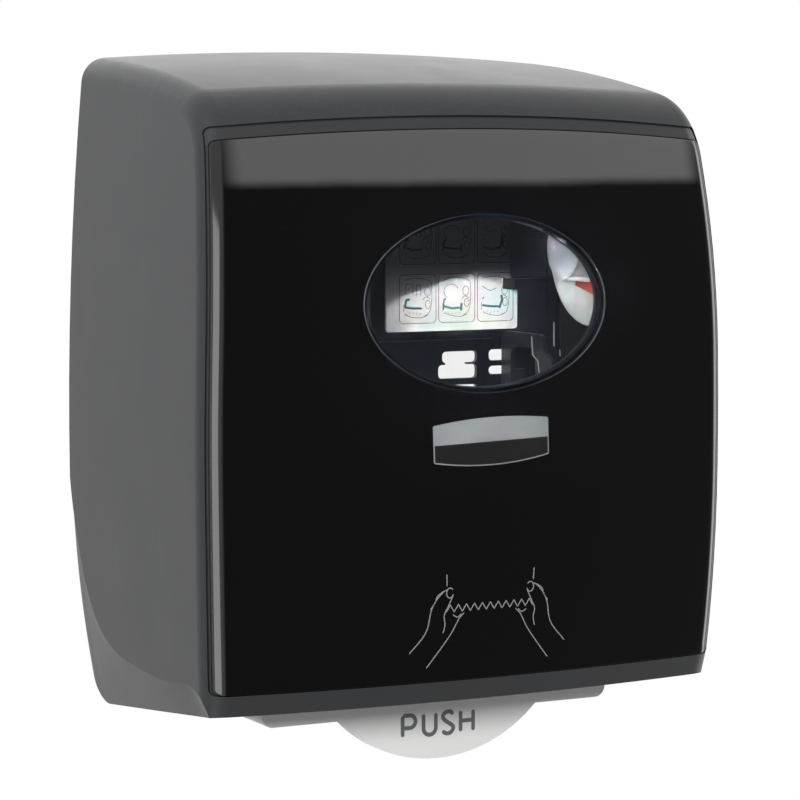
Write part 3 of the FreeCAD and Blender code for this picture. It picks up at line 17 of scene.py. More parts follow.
import bpy
import numpy as np
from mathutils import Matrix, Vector

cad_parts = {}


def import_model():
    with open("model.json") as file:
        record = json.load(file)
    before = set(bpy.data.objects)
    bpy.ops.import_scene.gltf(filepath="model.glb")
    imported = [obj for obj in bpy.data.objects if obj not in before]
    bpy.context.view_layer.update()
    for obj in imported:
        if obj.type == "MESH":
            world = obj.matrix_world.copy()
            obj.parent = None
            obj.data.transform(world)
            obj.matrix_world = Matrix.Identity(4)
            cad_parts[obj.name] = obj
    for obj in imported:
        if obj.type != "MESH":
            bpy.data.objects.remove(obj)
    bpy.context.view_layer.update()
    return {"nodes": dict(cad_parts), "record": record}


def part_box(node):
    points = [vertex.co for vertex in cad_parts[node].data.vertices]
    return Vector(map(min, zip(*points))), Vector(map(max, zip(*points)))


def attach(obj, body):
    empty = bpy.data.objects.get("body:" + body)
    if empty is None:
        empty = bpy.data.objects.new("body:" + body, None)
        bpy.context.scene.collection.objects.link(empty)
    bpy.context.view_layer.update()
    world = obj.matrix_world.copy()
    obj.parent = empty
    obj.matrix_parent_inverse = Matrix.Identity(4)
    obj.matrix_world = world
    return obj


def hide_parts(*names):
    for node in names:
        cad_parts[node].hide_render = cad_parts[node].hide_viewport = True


LOG = logging.getLogger("dispenser")
Array = np.ndarray
MM = 0.001
ORIGIN_UP = 170.0
AHEAD = np.array([0.0, -1.0, 0.0])
HAIR = 0.02
WIRE_SIDES = 8
DUST = (0.55, 0.54, 0.52, 1.0)
LINT = (0.05, 0.05, 0.05, 1.0)
WORN_RUBBER = (0.06, 0.058, 0.055, 1.0)


def to_row(points: Array) -> Array:
    """Turns points (x, y, up) in millimetres into the frame's metres.

    Args:
        points: Array whose last axis holds x, y and up.

    Returns:
        The same points in metres, counted from the frame's origin.
    """
    return (np.asarray(points, float) - np.array([0.0, 0.0, ORIGIN_UP])) * MM


def linear(hex_colour: str) -> tuple[float, float, float, float]:
    """Turns a written colour such as #2a2b2d into linear light.

    Args:
        hex_colour: Colour as six hexadecimal digits after a hash sign.

    Returns:
        Red, green, blue and an alpha of 1.
    """
    parts = np.array([int(hex_colour[k:k + 2], 16) for k in (1, 3, 5)]) / 255.0
    light = np.where(parts <= 0.04045, parts / 12.92, ((parts + 0.055) / 1.055) ** 2.4)
    return (*light.tolist(), 1.0)


def scaled(colour: Sequence[float], factor: float) -> tuple[float, float, float, float]:
    """Lightens or darkens a linear colour and keeps it opaque."""
    return (colour[0] * factor, colour[1] * factor, colour[2] * factor, 1.0)


# ------------------------------------------------------------------ shaders
class Wire:
    """A shader socket that can stand in a Python sum; each operator adds a Math node."""

    def __init__(self, recipe: "Recipe", socket: Any) -> None:
        """Keeps the socket and the recipe that owns it."""
        self.recipe = recipe
        self.socket = socket

    def _math(self, operation: str, first: Any, second: Any) -> "Wire":
        """Adds one Math node.

        Args:
            operation: Name of the node's operation.
            first: Wire or number for the first socket.
            second: Wire or number for the second socket.

        Returns:
            The node's result.
        """
        return self.recipe.wire("ShaderNodeMath", "Value", {"operation": operation}, {0: first, 1: second})

    def __add__(self, other: Any) -> "Wire":
        """self + other."""
        return self._math("ADD", self, other)

    def __radd__(self, other: Any) -> "Wire":
        """other + self."""
        return self._math("ADD", other, self)

    def __sub__(self, other: Any) -> "Wire":
        """self - other."""
        return self._math("SUBTRACT", self, other)

    def __rsub__(self, other: Any) -> "Wire":
        """other - self."""
        return self._math("SUBTRACT", other, self)

    def __mul__(self, other: Any) -> "Wire":
        """self * other."""
        return self._math("MULTIPLY", self, other)

    def __rmul__(self, other: Any) -> "Wire":
        """other * self."""
        return self._math("MULTIPLY", other, self)

    def __truediv__(self, other: Any) -> "Wire":
        """self / other."""
        return self._math("DIVIDE", self, other)

    def __pow__(self, other: Any) -> "Wire":
        """self to the power of other."""
        return self._math("POWER", self, other)

    def at_least(self, other: Any) -> "Wire":
        """The larger of the two."""
        return self._math("MAXIMUM", self, other)

    def at_most(self, other: Any) -> "Wire":
        """The smaller of the two."""
        return self._math("MINIMUM", self, other)

    def ramp(self, low: float, high: float) -> "Wire":
        """Rises from 0 at low to 1 at high and stays level outside.

        Args:
            low: Value that gives 0.
            high: Value that gives 1.

        Returns:
            The clamped and scaled value.
        """
        return self.recipe.wire("ShaderNodeMapRange", "Result", {"interpolation_type": "SMOOTHSTEP"},
                                {"Value": self, "From Min": low, "From Max": high})


class Recipe:
    """Builds one node tree; every node but the Math nodes comes from ``node``."""

    def __init__(self, tree: Any) -> None:
        """Empties the tree and keeps it."""
        self.tree = tree
        tree.nodes.clear()

    @classmethod
    def for_material(cls, name: str) -> tuple["Recipe", bpy.types.Material]:
        """Makes an empty material.

        Args:
            name: The material's name.

        Returns:
            The recipe and the material.
        """
        material = bpy.data.materials.new(name)
        material.use_nodes = True
        return cls(material.node_tree), material

    def node(self, kind: str, settings: Mapping[str, Any] | None = None,
             inputs: Mapping[Any, Any] | None = None) -> Any:
        """Adds a node.

        Args:
            kind: The node's type name.
            settings: Attributes of the node, set first.
            inputs: Socket names or numbers with a Wire to link or a value to set.

        Returns:
            The node.
        """
        made = self.tree.nodes.new(kind)
        for name, value in (settings or {}).items():
            setattr(made, name, value)
        for name, value in (inputs or {}).items():
            if isinstance(value, Wire):
                self.tree.links.new(value.socket, made.inputs[name])
            else:
                made.inputs[name].default_value = value
        return made

    def wire(self, kind: str, output: Any, settings: Mapping[str, Any] | None = None,
             inputs: Mapping[Any, Any] | None = None) -> Wire:
        """Adds a node and returns one of its outputs.

        Args:
            kind: The node's type name.
            output: Name or number of the output.
            settings: As in ``node``.
            inputs: As in ``node``.

        Returns:
            The output as a Wire.
        """
        return Wire(self, self.node(kind, settings, inputs).outputs[output])

    def place(self, stretch: Sequence[float] = (1.0, 1.0, 1.0)) -> Wire:
        """Position on the piece in metres, stretched along the axes.

        Args:
            stretch: Factors on x, y and z.

        Returns:
            The position.
        """
        spot = self.wire("ShaderNodeTexCoord", "Object")
        return self.wire("ShaderNodeMapping", "Vector", None, {"Vector": spot, "Scale": tuple(stretch)})

    def noise(self, per_metre: float, detail: float = 2.0, rough: float = 0.5,
              stretch: Sequence[float] = (1.0, 1.0, 1.0)) -> Wire:
        """Cloudy noise from 0 to 1.

        Args:
            per_metre: Patches in a metre.
            detail: Octaves.
            rough: Weight of the finer octaves.
            stretch: Factors on x, y and z.

        Returns:
            The noise.
        """
        return self.wire("ShaderNodeTexNoise", 0, {"noise_dimensions": "3D"},
                         {"Vector": self.place(stretch), "Scale": per_metre, "Detail": detail,
                          "Roughness": rough})

    def blend(self, share: Any, first: Any, second: Any) -> Wire:
        """Blends two colours.

        Args:
            share: 0 gives the first, 1 the second.
            first: Colour or Wire.
            second: Colour or Wire.

        Returns:
            The blended colour.
        """
        return self.wire("ShaderNodeMix", 2, {"data_type": "RGBA", "clamp_factor": True},
                         {0: share, 6: first, 7: second})

    def relief(self, height: Wire, depth_mm: float, strength: float = 1.0, below: Wire | None = None) -> Wire:
        """Turns a height into a normal.

        Args:
            height: Height from 0 to 1.
            depth_mm: Depth of the relief in millimetres.
            strength: Share of the relief that shows.
            below: Normal of a relief under this one.

        Returns:
            The normal.
        """
        inputs: dict[str, Any] = {"Height": height, "Distance": depth_mm * MM, "Strength": strength}
        if below is not None:
            inputs["Normal"] = below
        return self.wire("ShaderNodeBump", "Normal", None, inputs)

    def surface(self, shader: Wire) -> None:
        """Ends the tree with this shader."""
        self.node("ShaderNodeOutputMaterial", None, {"Surface": shader})


def shade(recipe: Recipe, inputs: Mapping[str, Any]) -> Wire:
    """Adds a Principled shader with these inputs."""
    return recipe.wire("ShaderNodeBsdfPrincipled", "BSDF", None, inputs)


@dataclass(frozen=True)
class Moulded:
    """Moulded plastic with a fine spark-eroded grain, cloudy tone and a little dust on top."""

    name: str
    colour: str
    roughness: float = 0.5
    gloss: float = 0.5
    grain_mm: float = 0.35
    grain_depth_mm: float = 0.02
    cloud: float = 0.12
    dust: float = 0.05

    def material(self) -> bpy.types.Material:
        """Builds the material."""
        recipe, made = Recipe.for_material(self.name)
        colour = linear(self.colour)
        cloud = recipe.noise(22.0, 4.0, 0.6)
        tone = recipe.blend(cloud, scaled(colour, 1.0 - self.cloud), scaled(colour, 1.0 + self.cloud))
        facing = recipe.wire("ShaderNodeSeparateXYZ", "Z", None,
                             {0: recipe.wire("ShaderNodeNewGeometry", "Normal")})
        specks = recipe.noise(900.0, 3.0, 0.7).ramp(0.52, 0.7)
        dusty = facing.ramp(0.3, 0.95) * specks * self.dust
        tone = recipe.blend(dusty, tone, DUST)
        grain = recipe.noise(1000.0 / self.grain_mm, 2.0, 0.5)
        rubbed = recipe.noise(60.0, 5.0, 0.65, (1.0, 1.0, 0.25)).ramp(0.55, 0.8)
        rough = self.roughness + (cloud - 0.5) * 0.08 + (grain - 0.5) * 0.06 - rubbed * 0.05
        recipe.surface(shade(recipe, {"Base Color": tone, "Roughness": rough,
                                      "Specular IOR Level": self.gloss,
                                      "Normal": recipe.relief(grain, self.grain_depth_mm)}))
        return made


@dataclass(frozen=True)
class Polished:
    """Polished black plastic: deep, with faint orange peel, hairlines and a few dust specks.

    A coat whose weight is painted by place carries a painted reflection of the pale room where the panel
    curves away: on the shoulder it rises between two heights and fades towards the sides as a painted sheen
    band, and along each side it covers the rounded edge as a painted highlight.
    """

    name: str
    colour: str
    roughness: float = 0.03
    gloss: float = 0.06
    sheen_from: float = (255.5 - ORIGIN_UP) * MM
    sheen_full: float = (262.0 - ORIGIN_UP) * MM
    sheen_middle: float = 124.0 * MM
    sheen_side: float = 138.0 * MM
    half_width: float = 148.5 * MM
    waist: float = (125.0 - ORIGIN_UP) * MM
    side_radius: float = 2000.0 * MM
    fillet_from: float = 9.5 * MM
    fillet_blend: float = 1.5 * MM
    fillet_sheen_weight: float = 0.38

    def material(self) -> bpy.types.Material:
        """Builds the material."""
        recipe, made = Recipe.for_material(self.name)
        hair = recipe.noise(420.0, 6.0, 0.75, (1.0, 1.0, 0.06)).ramp(0.63, 0.72)
        smear = recipe.noise(14.0, 4.0, 0.6)
        speck = recipe.noise(380.0, 2.0, 0.4).ramp(0.8, 0.84)
        tone = recipe.blend(speck * 0.25, linear(self.colour), LINT)
        rough = self.roughness + smear * 0.03 + hair * 0.04 + speck * 0.3
        peel = recipe.relief(recipe.noise(160.0, 2.0, 0.4), 0.004, 0.6)
        spot = recipe.node("ShaderNodeSeparateXYZ", None, {0: recipe.place()})
        height, across = Wire(recipe, spot.outputs["Z"]), Wire(recipe, spot.outputs["X"])
        # Painted sheen: on the shoulder the coat weight rises between two heights and fades towards the
        # sides.
        inside = (across * across).ramp(self.sheen_side**2, self.sheen_middle**2)
        painted_sheen = (height + (smear - 0.5) * 0.003).ramp(self.sheen_from, self.sheen_full) * inside
        # Painted highlight: along each rounded side edge the coat weight rises near the panel's edge.
        reach = across.at_least(0.0 - across)
        inset = self.half_width - (height - self.waist) ** 2.0 / (2.0 * self.side_radius) - reach
        fillet_highlight = (self.fillet_from - inset).ramp(0.0, self.fillet_blend) * self.fillet_sheen_weight
        recipe.surface(shade(recipe, {"Base Color": tone, "Roughness": rough,
                                      "Specular IOR Level": self.gloss, "Coat Weight": painted_sheen.at_least(fillet_highlight),
                                      "Coat IOR": 1.92, "Coat Roughness": 0.1,
                                      "Normal": recipe.relief(hair, 0.002, 0.4, peel)}))
        return made


@dataclass(frozen=True)
class Tinted:
    """Clear tinted plastic: see-through inside its edge, with a painted highlight on its edge: a lighter
    colour and more cover there.
    """

    name: str
    colour: str
    cover: float = 0.08
    rim_highlight_colour: str = "#9a9fa6"

    def material(self) -> bpy.types.Material:
        """Builds the material; the attribute "edge" is 1 at the piece's edge, where a lighter colour is
        painted as a highlight, and -1 on its dark skirt.
        """
        recipe, made = Recipe.for_material(self.name)
        edge = recipe.wire("ShaderNodeAttribute", "Fac", {"attribute_name": "edge"})
        smear = recipe.noise(30.0, 4.0, 0.6)
        # Painted highlight: towards the rolled edge the colour turns pale grey and the cover rises.
        tone = recipe.blend(edge, linear(self.colour), linear(self.rim_highlight_colour))
        skirt = (0.0 - edge).at_least(0.0) * 0.95
        alpha = (self.cover + (smear - 0.5) * 0.04 + edge.at_least(0.0) * 0.5 + skirt).at_most(1.0)
        peel = recipe.relief(recipe.noise(90.0, 2.0, 0.4), 0.004, 0.5)
        recipe.surface(shade(recipe, {"Base Color": tone, "Roughness": 0.02 + smear * 0.02,
                                      "Specular IOR Level": 0.45, "Alpha": alpha, "Normal": peel}))
        return made


@dataclass(frozen=True)
class Plated:
    """Plated or plain metal with fine drawn lines."""

    name: str
    colour: str
    roughness: float = 0.3
    lines: tuple[float, float, float] = (0.05, 1.0, 1.0)

    def material(self) -> bpy.types.Material:
        """Builds the material."""
        recipe, made = Recipe.for_material(self.name)
        lines = recipe.noise(2200.0, 3.0, 0.6, self.lines)
        stain = recipe.noise(90.0, 4.0, 0.6)
        colour = linear(self.colour)
        tone = recipe.blend(stain, scaled(colour, 0.8), colour)
        recipe.surface(shade(recipe, {"Base Color": tone, "Metallic": 1.0,
                                      "Roughness": self.roughness + (lines - 0.5) * 0.2 + stain * 0.06,
                                      "Normal": recipe.relief(lines, 0.004, 0.5)}))
        return made


@dataclass(frozen=True)
class Rubbered:
    """Matt rubber with a pebbled skin."""

    name: str
    colour: str

    def material(self) -> bpy.types.Material:
        """Builds the material."""
        recipe, made = Recipe.for_material(self.name)
        pebble = recipe.noise(1400.0, 1.0, 0.4).ramp(0.35, 0.65)
        wear = recipe.noise(50.0, 5.0, 0.7)
        tone = recipe.blend(wear * 0.5, linear(self.colour), WORN_RUBBER)
        recipe.surface(shade(recipe, {"Base Color": tone, "Roughness": 0.75 + pebble * 0.12,
                                      "Specular IOR Level": 0.3,
                                      "Normal": recipe.relief(pebble, 0.06)}))
        return made


@dataclass(frozen=True)
class Printed:
    """Printing ink or a printed plate: satin, with a fine uneven coat."""

    name: str
    colour: str
    roughness: float = 0.45
    gloss: float = 0.4
    metallic: float = 0.0

    def material(self) -> bpy.types.Material:
        """Builds the material."""
        recipe, made = Recipe.for_material(self.name)
        colour = linear(self.colour)
        coat = recipe.noise(1500.0, 2.0, 0.5) * 0.5 + recipe.noise(40.0, 3.0, 0.5) * 0.5
        tone = recipe.blend(coat, scaled(colour, 0.88), scaled(colour, 1.06))
        recipe.surface(shade(recipe, {"Base Color": tone, "Metallic": self.metallic,
                                      "Specular IOR Level": self.gloss,
                                      "Roughness": self.roughness + (coat - 0.5) * 0.1,
                                      "Normal": recipe.relief(coat, 0.004, 0.5)}))
        return made


FINISHES: dict[str, Any] = {
    "matte_black": Moulded("finish_matte_black", "#242527", 0.35, 0.32, 0.32, 0.012, 0.05, 0.03),
    "gloss_black": Polished("finish_gloss_black", "#030304"),
    "smoked_clear": Tinted("finish_smoked_clear", "#0b0e16"),
    "housing_grey": Moulded("finish_housing_grey", "#0f1116", 0.4, 0.4, 0.4, 0.02, 0.08, 0.06),
    "frame_grey": Moulded("finish_frame_grey", "#2a2c31", 0.38, 0.45, 0.4, 0.02, 0.08, 0.06),
    "drum_grey": Moulded("finish_drum_grey", "#85888c", 0.42, 0.45, 0.5, 0.02, 0.06, 0.05),
    "arm_grey": Moulded("finish_arm_grey", "#26282d", 0.36, 0.5, 0.4, 0.02, 0.08, 0.05),
    "hub_white": Moulded("finish_hub_white", "#dfe2e3", 0.4, 0.4, 0.5, 0.015, 0.05, 0.04),
    "gear_white": Moulded("finish_gear_white", "#e2dfd6", 0.35, 0.45, 0.7, 0.01, 0.03, 0.02),
    "bush_white": Moulded("finish_bush_white", "#d9d6cc", 0.35, 0.45, 0.7, 0.01, 0.03, 0.02),
    "lever_white": Moulded("finish_lever_white", "#f3f3f2", 0.38, 0.45, 0.5, 0.01, 0.02, 0.02),
    "label_white": Printed("finish_label_white", "#e9eaea", 0.4),
    "tab_orange": Moulded("finish_tab_orange", "#cf3a22", 0.35, 0.5, 0.5, 0.01, 0.05, 0.0),
    "rubber_dark": Rubbered("finish_rubber_dark", "#242424"),
    "steel": Plated("finish_steel", "#b4b6b8", 0.28),
    "spring_steel": Plated("finish_spring_steel", "#8f9193", 0.33),
    "lock_metal": Plated("finish_lock_metal", "#c0c2c4", 0.2),
}


class Ink(Enum):
    """Inks and small plates that only the scene has."""

    OUTLINE = Printed("ink_outline", "#8f9294")
    WORD = Printed("ink_word", "#63666a")
    SKETCH = Printed("ink_sketch", "#25282c")
    TEAL = Printed("ink_teal", "#1f6f7d")
    PLATE = Printed("badge_silver", "#85888b", 0.38, 0.4, 0.25)
    PLATE_DARK = Printed("badge_dark", "#050506", 0.3, 0.2)


# ------------------------------------------------------------------ meshes
def grid_quads(rows: int, columns: int, wrap_rows: bool = False, wrap_columns: bool = False) -> Array:
    """Faces of a grid whose points are numbered row by row.

    Args:
        rows: Number of rows of points.
        columns: Number of points in a row.
        wrap_rows: Joins the last row to the first.
        wrap_columns: Joins the last point of a row to its first.

    Returns:
        One line of four point numbers for each face.
    """
    row = np.arange(rows if wrap_rows else rows - 1)[:, None]
    column = np.arange(columns if wrap_columns else columns - 1)[None, :]
    next_row, next_column = (row + 1) % rows, (column + 1) % columns
    corners = [row * columns + column, row * columns + next_column,
               next_row * columns + next_column, next_row * columns + column]
    return np.stack([np.broadcast_to(c, (row.size, column.size)).ravel() for c in corners], axis=1)


@dataclass
class MeshStock:
    """Collects points and faces of several surfaces that become one piece."""

    points: list[Array] = field(default_factory=list)
    faces: list[list[int]] = field(default_factory=list)
    count: int = 0

    def add(self, points: Array, faces: Sequence[Sequence[int]] | Array) -> None:
        """Adds a surface.

        Args:
            points: Points (x, y, up) in millimetres, one line each.
            faces: Point numbers of each face, counted within this surface.
        """
        flat = np.asarray(points, float).reshape(-1, 3)
        listed = faces.tolist() if isinstance(faces, np.ndarray) else faces
        self.faces += [[number + self.count for number in face] for face in listed]
        self.points.append(flat)
        self.count += len(flat)

    def piece(self, name: str, smooth: bool = True) -> bpy.types.Object:
        """Makes the piece.

        Args:
            name: The piece's name.
            smooth: Shades it smooth.

        Returns:
            The new object, at the frame's origin.
        """
        mesh = bpy.data.meshes.new(name)
        mesh.from_pydata(to_row(np.concatenate(self.points)).tolist(), [], self.faces)
        mesh.polygons.foreach_set("use_smooth", np.full(len(mesh.polygons), smooth))
        mesh.update()
        made = bpy.data.objects.new(name, mesh)
        bpy.context.scene.collection.objects.link(made)
        LOG.info("%s: %d faces", name, len(mesh.polygons))
        return made


def sweep(path: Array, normal: Array, section: Array,
          scale: Array | None = None) -> tuple[Array, list[list[int]]]:
    """Carries a closed section along a path: each ring is path + across * binormal + out * normal.

    Args:
        path: Points of the path, shape (n, 3).
        normal: Unit outward direction at each point, shape (n, 3).
        section: Closed section as (across, out), shape (k, 2), counter-clockwise.
        scale: Factor on the section at each point.

    Returns:
        The points and the faces, with a cap at each end.
    """
    tangent = np.gradient(path, axis=0)
    tangent /= np.linalg.norm(tangent, axis=1, keepdims=True)
    side = np.cross(tangent, normal)
    side /= np.linalg.norm(side, axis=1, keepdims=True)
    factor = np.ones(len(path)) if scale is None else scale
    rings = (path[:, None, :] + factor[:, None, None] * section[None, :, :1] * side[:, None, :]
             + factor[:, None, None] * section[None, :, 1:] * normal[:, None, :])
    k = len(section)
    faces = grid_quads(len(path), k, wrap_columns=True)[:, ::-1].tolist()
    last = (len(path) - 1) * k
    return rings.reshape(-1, 3), faces + [list(range(k)), [last + j for j in reversed(range(k))]]


def smooth_path(points: Sequence[Sequence[float]], per_span: int = 8) -> Array:
    """Catmull-Rom curve: each span is a cubic whose end slopes are half the chord of its neighbours.

    Args:
        points: Points that the curve passes.
        per_span: Steps in each span.

    Returns:
        The curve's points.
    """
    given = np.asarray(points, float)
    padded = np.concatenate([2 * given[:1] - given[1:2], given, 2 * given[-1:] - given[-2:-1]])
    before, start, end, after = (padded[k:len(padded) - 3 + k, None, :] for k in range(4))
    t = np.linspace(0.0, 1.0, per_span, endpoint=False)[None, :, None]
    curve = 0.5 * (2 * start + (end - before) * t + (2 * before - 5 * start + 4 * end - after) * t**2
                   + (3 * start - before - 3 * end + after) * t**3)
    return np.concatenate([curve.reshape(-1, given.shape[1]), given[-1:]])


def walked_length(points: Array) -> Array:
    """Length walked along a broken line up to each of its points."""
    return np.concatenate([[0.0], np.cumsum(np.linalg.norm(np.diff(points, axis=0), axis=1))])


def round_section(radius: float) -> Array:
    """Closed round section of a thin wire: radius (cos, sin) in even steps."""
    turn = np.linspace(0.0, 2 * math.pi, WIRE_SIDES, endpoint=False)
    return radius * np.stack([np.cos(turn), np.sin(turn)], axis=1)


def on_flat(x: Array, up: Array, front_y: float) -> tuple[Array, Array]:
    """Points and normals at (x, up), a hair ahead of a flat face that looks ahead."""
    points = np.stack([x, np.full(len(x), front_y - HAIR), up], axis=1)
    return points, np.broadcast_to(AHEAD, points.shape)


def even_path(points: Array, step: float) -> Array:
    """Walks a broken line in even steps and keeps its corners.

    Args:
        points: Corners of the line.
        step: Longest step.

    Returns:
        The points passed.
    """
    given = np.asarray(points, float)
    length = walked_length(given)
    steps = np.linspace(0.0, length[-1], max(3, int(length[-1] / step)))
    walked = np.unique(np.concatenate([length, steps]))
    return np.stack([np.interp(walked, length, given[:, k]) for k in range(given.shape[1])], axis=1)


def round_ends(path: Array, half: float) -> Array:
    """Scale that rounds a stroke's two ends: the root of 1 - (1 - distance / half) squared.

    Args:
        path: Points of the stroke.
        half: Half the stroke's width.

    Returns:
        The factor at each point.
    """
    length = walked_length(path)
    near = np.clip(np.minimum(length, length[-1] - length) / half, 0.0, 1.0)
    return np.sqrt(np.maximum(1.0 - (1.0 - near) ** 2, 0.02))


@dataclass
class StrokeSet:
    """Ink strokes laid on a surface and joined to one piece."""

    lay: Callable[[Array], tuple[Array, Array]]
    width: float
    height: float = 0.06
    stock: MeshStock = field(default_factory=MeshStock)

    def stroke(self, points: Sequence[Sequence[float]] | Array, curved: bool = False,
               width: float | None = None, step: float = 0.6) -> None:
        """Adds one stroke, a flat-topped ribbon whose ends are rounded.

        Args:
            points: Places on the surface as (x, up).
            curved: Draws a smooth curve through them instead of a broken line.
            width: Width of this stroke.
            step: Longest step along it.
        """
        half = (width or self.width) / 2
        line = even_path(smooth_path(points) if curved else np.asarray(points, float), step)
        place, normal = self.lay(line)
        high, shoulder, top = self.height, self.height * 0.6, half * 0.8
        section = np.array([(-half, -high), (half, -high), (half, shoulder), (top, high), (-top, high),
                            (-half, shoulder)])
        self.stock.add(*sweep(place, normal, section, round_ends(line, half)))

    def ring(self, centre: tuple[float, float], radius_x: float, radius_up: float, turns: float = 1.0,
             start: float = 0.0) -> None:
        """Adds an elliptical stroke: centre + (radius_x cos, radius_up sin).

        Args:
            centre: Middle as (x, up).
            radius_x: Half width.
            radius_up: Half height.
            turns: Share of the full turn.
            start: First angle in turns.
        """
        angle = 2 * math.pi * (start + np.linspace(0.0, turns, 40))
        x, up = centre[0] + radius_x * np.cos(angle), centre[1] + radius_up * np.sin(angle)
        self.stroke(np.stack([x, up], axis=1))

    def piece(self, name: str, ink: Ink, body: str) -> bpy.types.Object:
        """Makes the piece and puts it on a body.

        Args:
            name: The piece's name.
            ink: Its ink.
            body: The CAD body that carries it.

        Returns:
            The new object.
        """
        made = self.stock.piece(name)
        made.data.materials.append(ink.value.material())
        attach(made, body)
        return made


# ------------------------------------------------------------------ the cover's front surface
@dataclass(frozen=True)
class FrontForm:
    """Outer surface of the cover's front: a profile of arcs, bowed across and rounded at the sides."""

    half_width: float = 148.5
    waist_up: float = 125.0
    side_radius: float = 2000.0
    depth: float = 178.0
    bow: float = 14.0
    crown: float = 5.0
    corner: float = 14.0
    lower_radius: float = 950.0
    plumb_from: float = 110.0
    plumb_to: float = 170.0
    upper_radius: float = 450.0
    upper_turn: float = math.radians(13.0)
    shoulder_radius: float = 42.0

    def half(self, up: Array) -> Array:
        """Half width at a height: half_width - (R - root of (R squared - distance from the waist squared)).

        Args:
            up: Heights.

        Returns:
            The half width at each height.
        """
        arc = np.sqrt(self.side_radius**2 - (up - self.waist_up) ** 2)
        return self.half_width - (self.side_radius - arc)

    def profile(self, up: Array) -> tuple[Array, Array]:
        """Depth and slope of the profile at its ends: lower arc, plumb run, upper arc, shoulder.

        Args:
            up: Heights on the profile.

        Returns:
            y and the slope dy / dup.
        """
        arc_end = self.plumb_to + self.upper_radius * math.sin(self.upper_turn)
        arc_y = -self.depth + self.upper_radius * (1 - math.cos(self.upper_turn))
        hub_up = arc_end - self.shoulder_radius * math.sin(self.upper_turn)
        hub_y = arc_y + self.shoulder_radius * math.cos(self.upper_turn)
        below = np.minimum(up - self.plumb_from, 0.0)
        above = np.clip(up - self.plumb_to, 0.0, arc_end - self.plumb_to)
        beyond = np.maximum(up, arc_end) - hub_up
        lower = np.sqrt(self.lower_radius**2 - below**2)
        upper = np.sqrt(self.upper_radius**2 - above**2)
        round_top = np.sqrt(np.maximum(self.shoulder_radius**2 - beyond**2, 1e-6))
        front_y = -self.depth + (self.lower_radius - lower) + (self.upper_radius - upper)
        y = np.where(up < arc_end, front_y, hub_y - round_top)
        return y, np.where(up < arc_end, below / lower + above / upper, beyond / round_top)

    def open_front(self, x: Array, up: Array) -> tuple[Array, Array]:
        """The front before its sides are rounded: the profile moved by the bow and the crown.

        Args:
            x: Places across.
            up: Heights on the profile.

        Returns:
            Points and unit normals.
        """
        y, slope = self.profile(up)
        share = 1.0 - (x / self.half_width) ** 2
        fall = -2.0 * x / self.half_width**2
        points = np.stack([x, y - self.bow * share, up + self.crown * share], axis=-1)
        across = np.stack([np.ones_like(x), -self.bow * fall, self.crown * fall], axis=-1)
        along = np.stack([np.zeros_like(x), slope, np.ones_like(x)], axis=-1)
        normals = np.cross(across, along)
        return points, normals / np.linalg.norm(normals, axis=-1, keepdims=True)

    def rounded(self, x: Array, up: Array) -> tuple[Array, Array]:
        """The front with a ball of the corner radius rolled along its sides.

        Args:
            x: Places across.
            up: Heights on the profile.

        Returns:
            Points and unit normals.
        """
        side, reach = np.where(x < 0, -1.0, 1.0), np.abs(x)
        touch = self.half(up) - self.corner
        for _ in range(6):
            normal = self.open_front(touch, up)[1]
            touch = self.half(up) - self.corner + self.corner * normal[..., 0]
        point, normal = self.open_front(touch, up)
        centre = point - self.corner * normal
        ahead = normal * np.array([0.0, 1.0, 1.0])
        ahead /= np.linalg.norm(ahead, axis=-1, keepdims=True)
        sine = np.clip((reach - centre[..., 0]) / self.corner, -1.0, 1.0)[..., None]
        round_normal = sine * np.array([1.0, 0.0, 0.0]) + np.sqrt(1.0 - sine**2) * ahead
        flat_point, flat_normal = self.open_front(reach, up)
        on_corner = (reach > touch)[..., None]
        points = np.where(on_corner, centre + self.corner * round_normal, flat_point)
        normals = np.where(on_corner, round_normal, flat_normal)
        points[..., 0], normals[..., 0] = side * reach, side * normals[..., 0]
        return points, normals

    def at(self, x: Array, up: Array, out: float | Array = 0.0) -> tuple[Array, Array]:
        """The front at a place seen straight from ahead; the height is met by repeated correction.

        Args:
            x: Places across.
            up: Heights of the places themselves.
            out: Distance outwards along the normal.

        Returns:
            Points and unit normals.
        """
        x, up = np.asarray(x, float), np.asarray(up, float)
        level = up - self.crown * (1.0 - (x / self.half_width) ** 2)
        for _ in range(10):
            level = level - (self.rounded(x, level)[0][..., 2] - up)
        points, normals = self.rounded(x, level)
        return points + np.asarray(out)[..., None] * normals, normals


@dataclass
class WindowShape:
    """The window's ellipse, seen straight from ahead."""

    up: float = 199.0
    half_x: float = 68.5
    half_up: float = 44.5


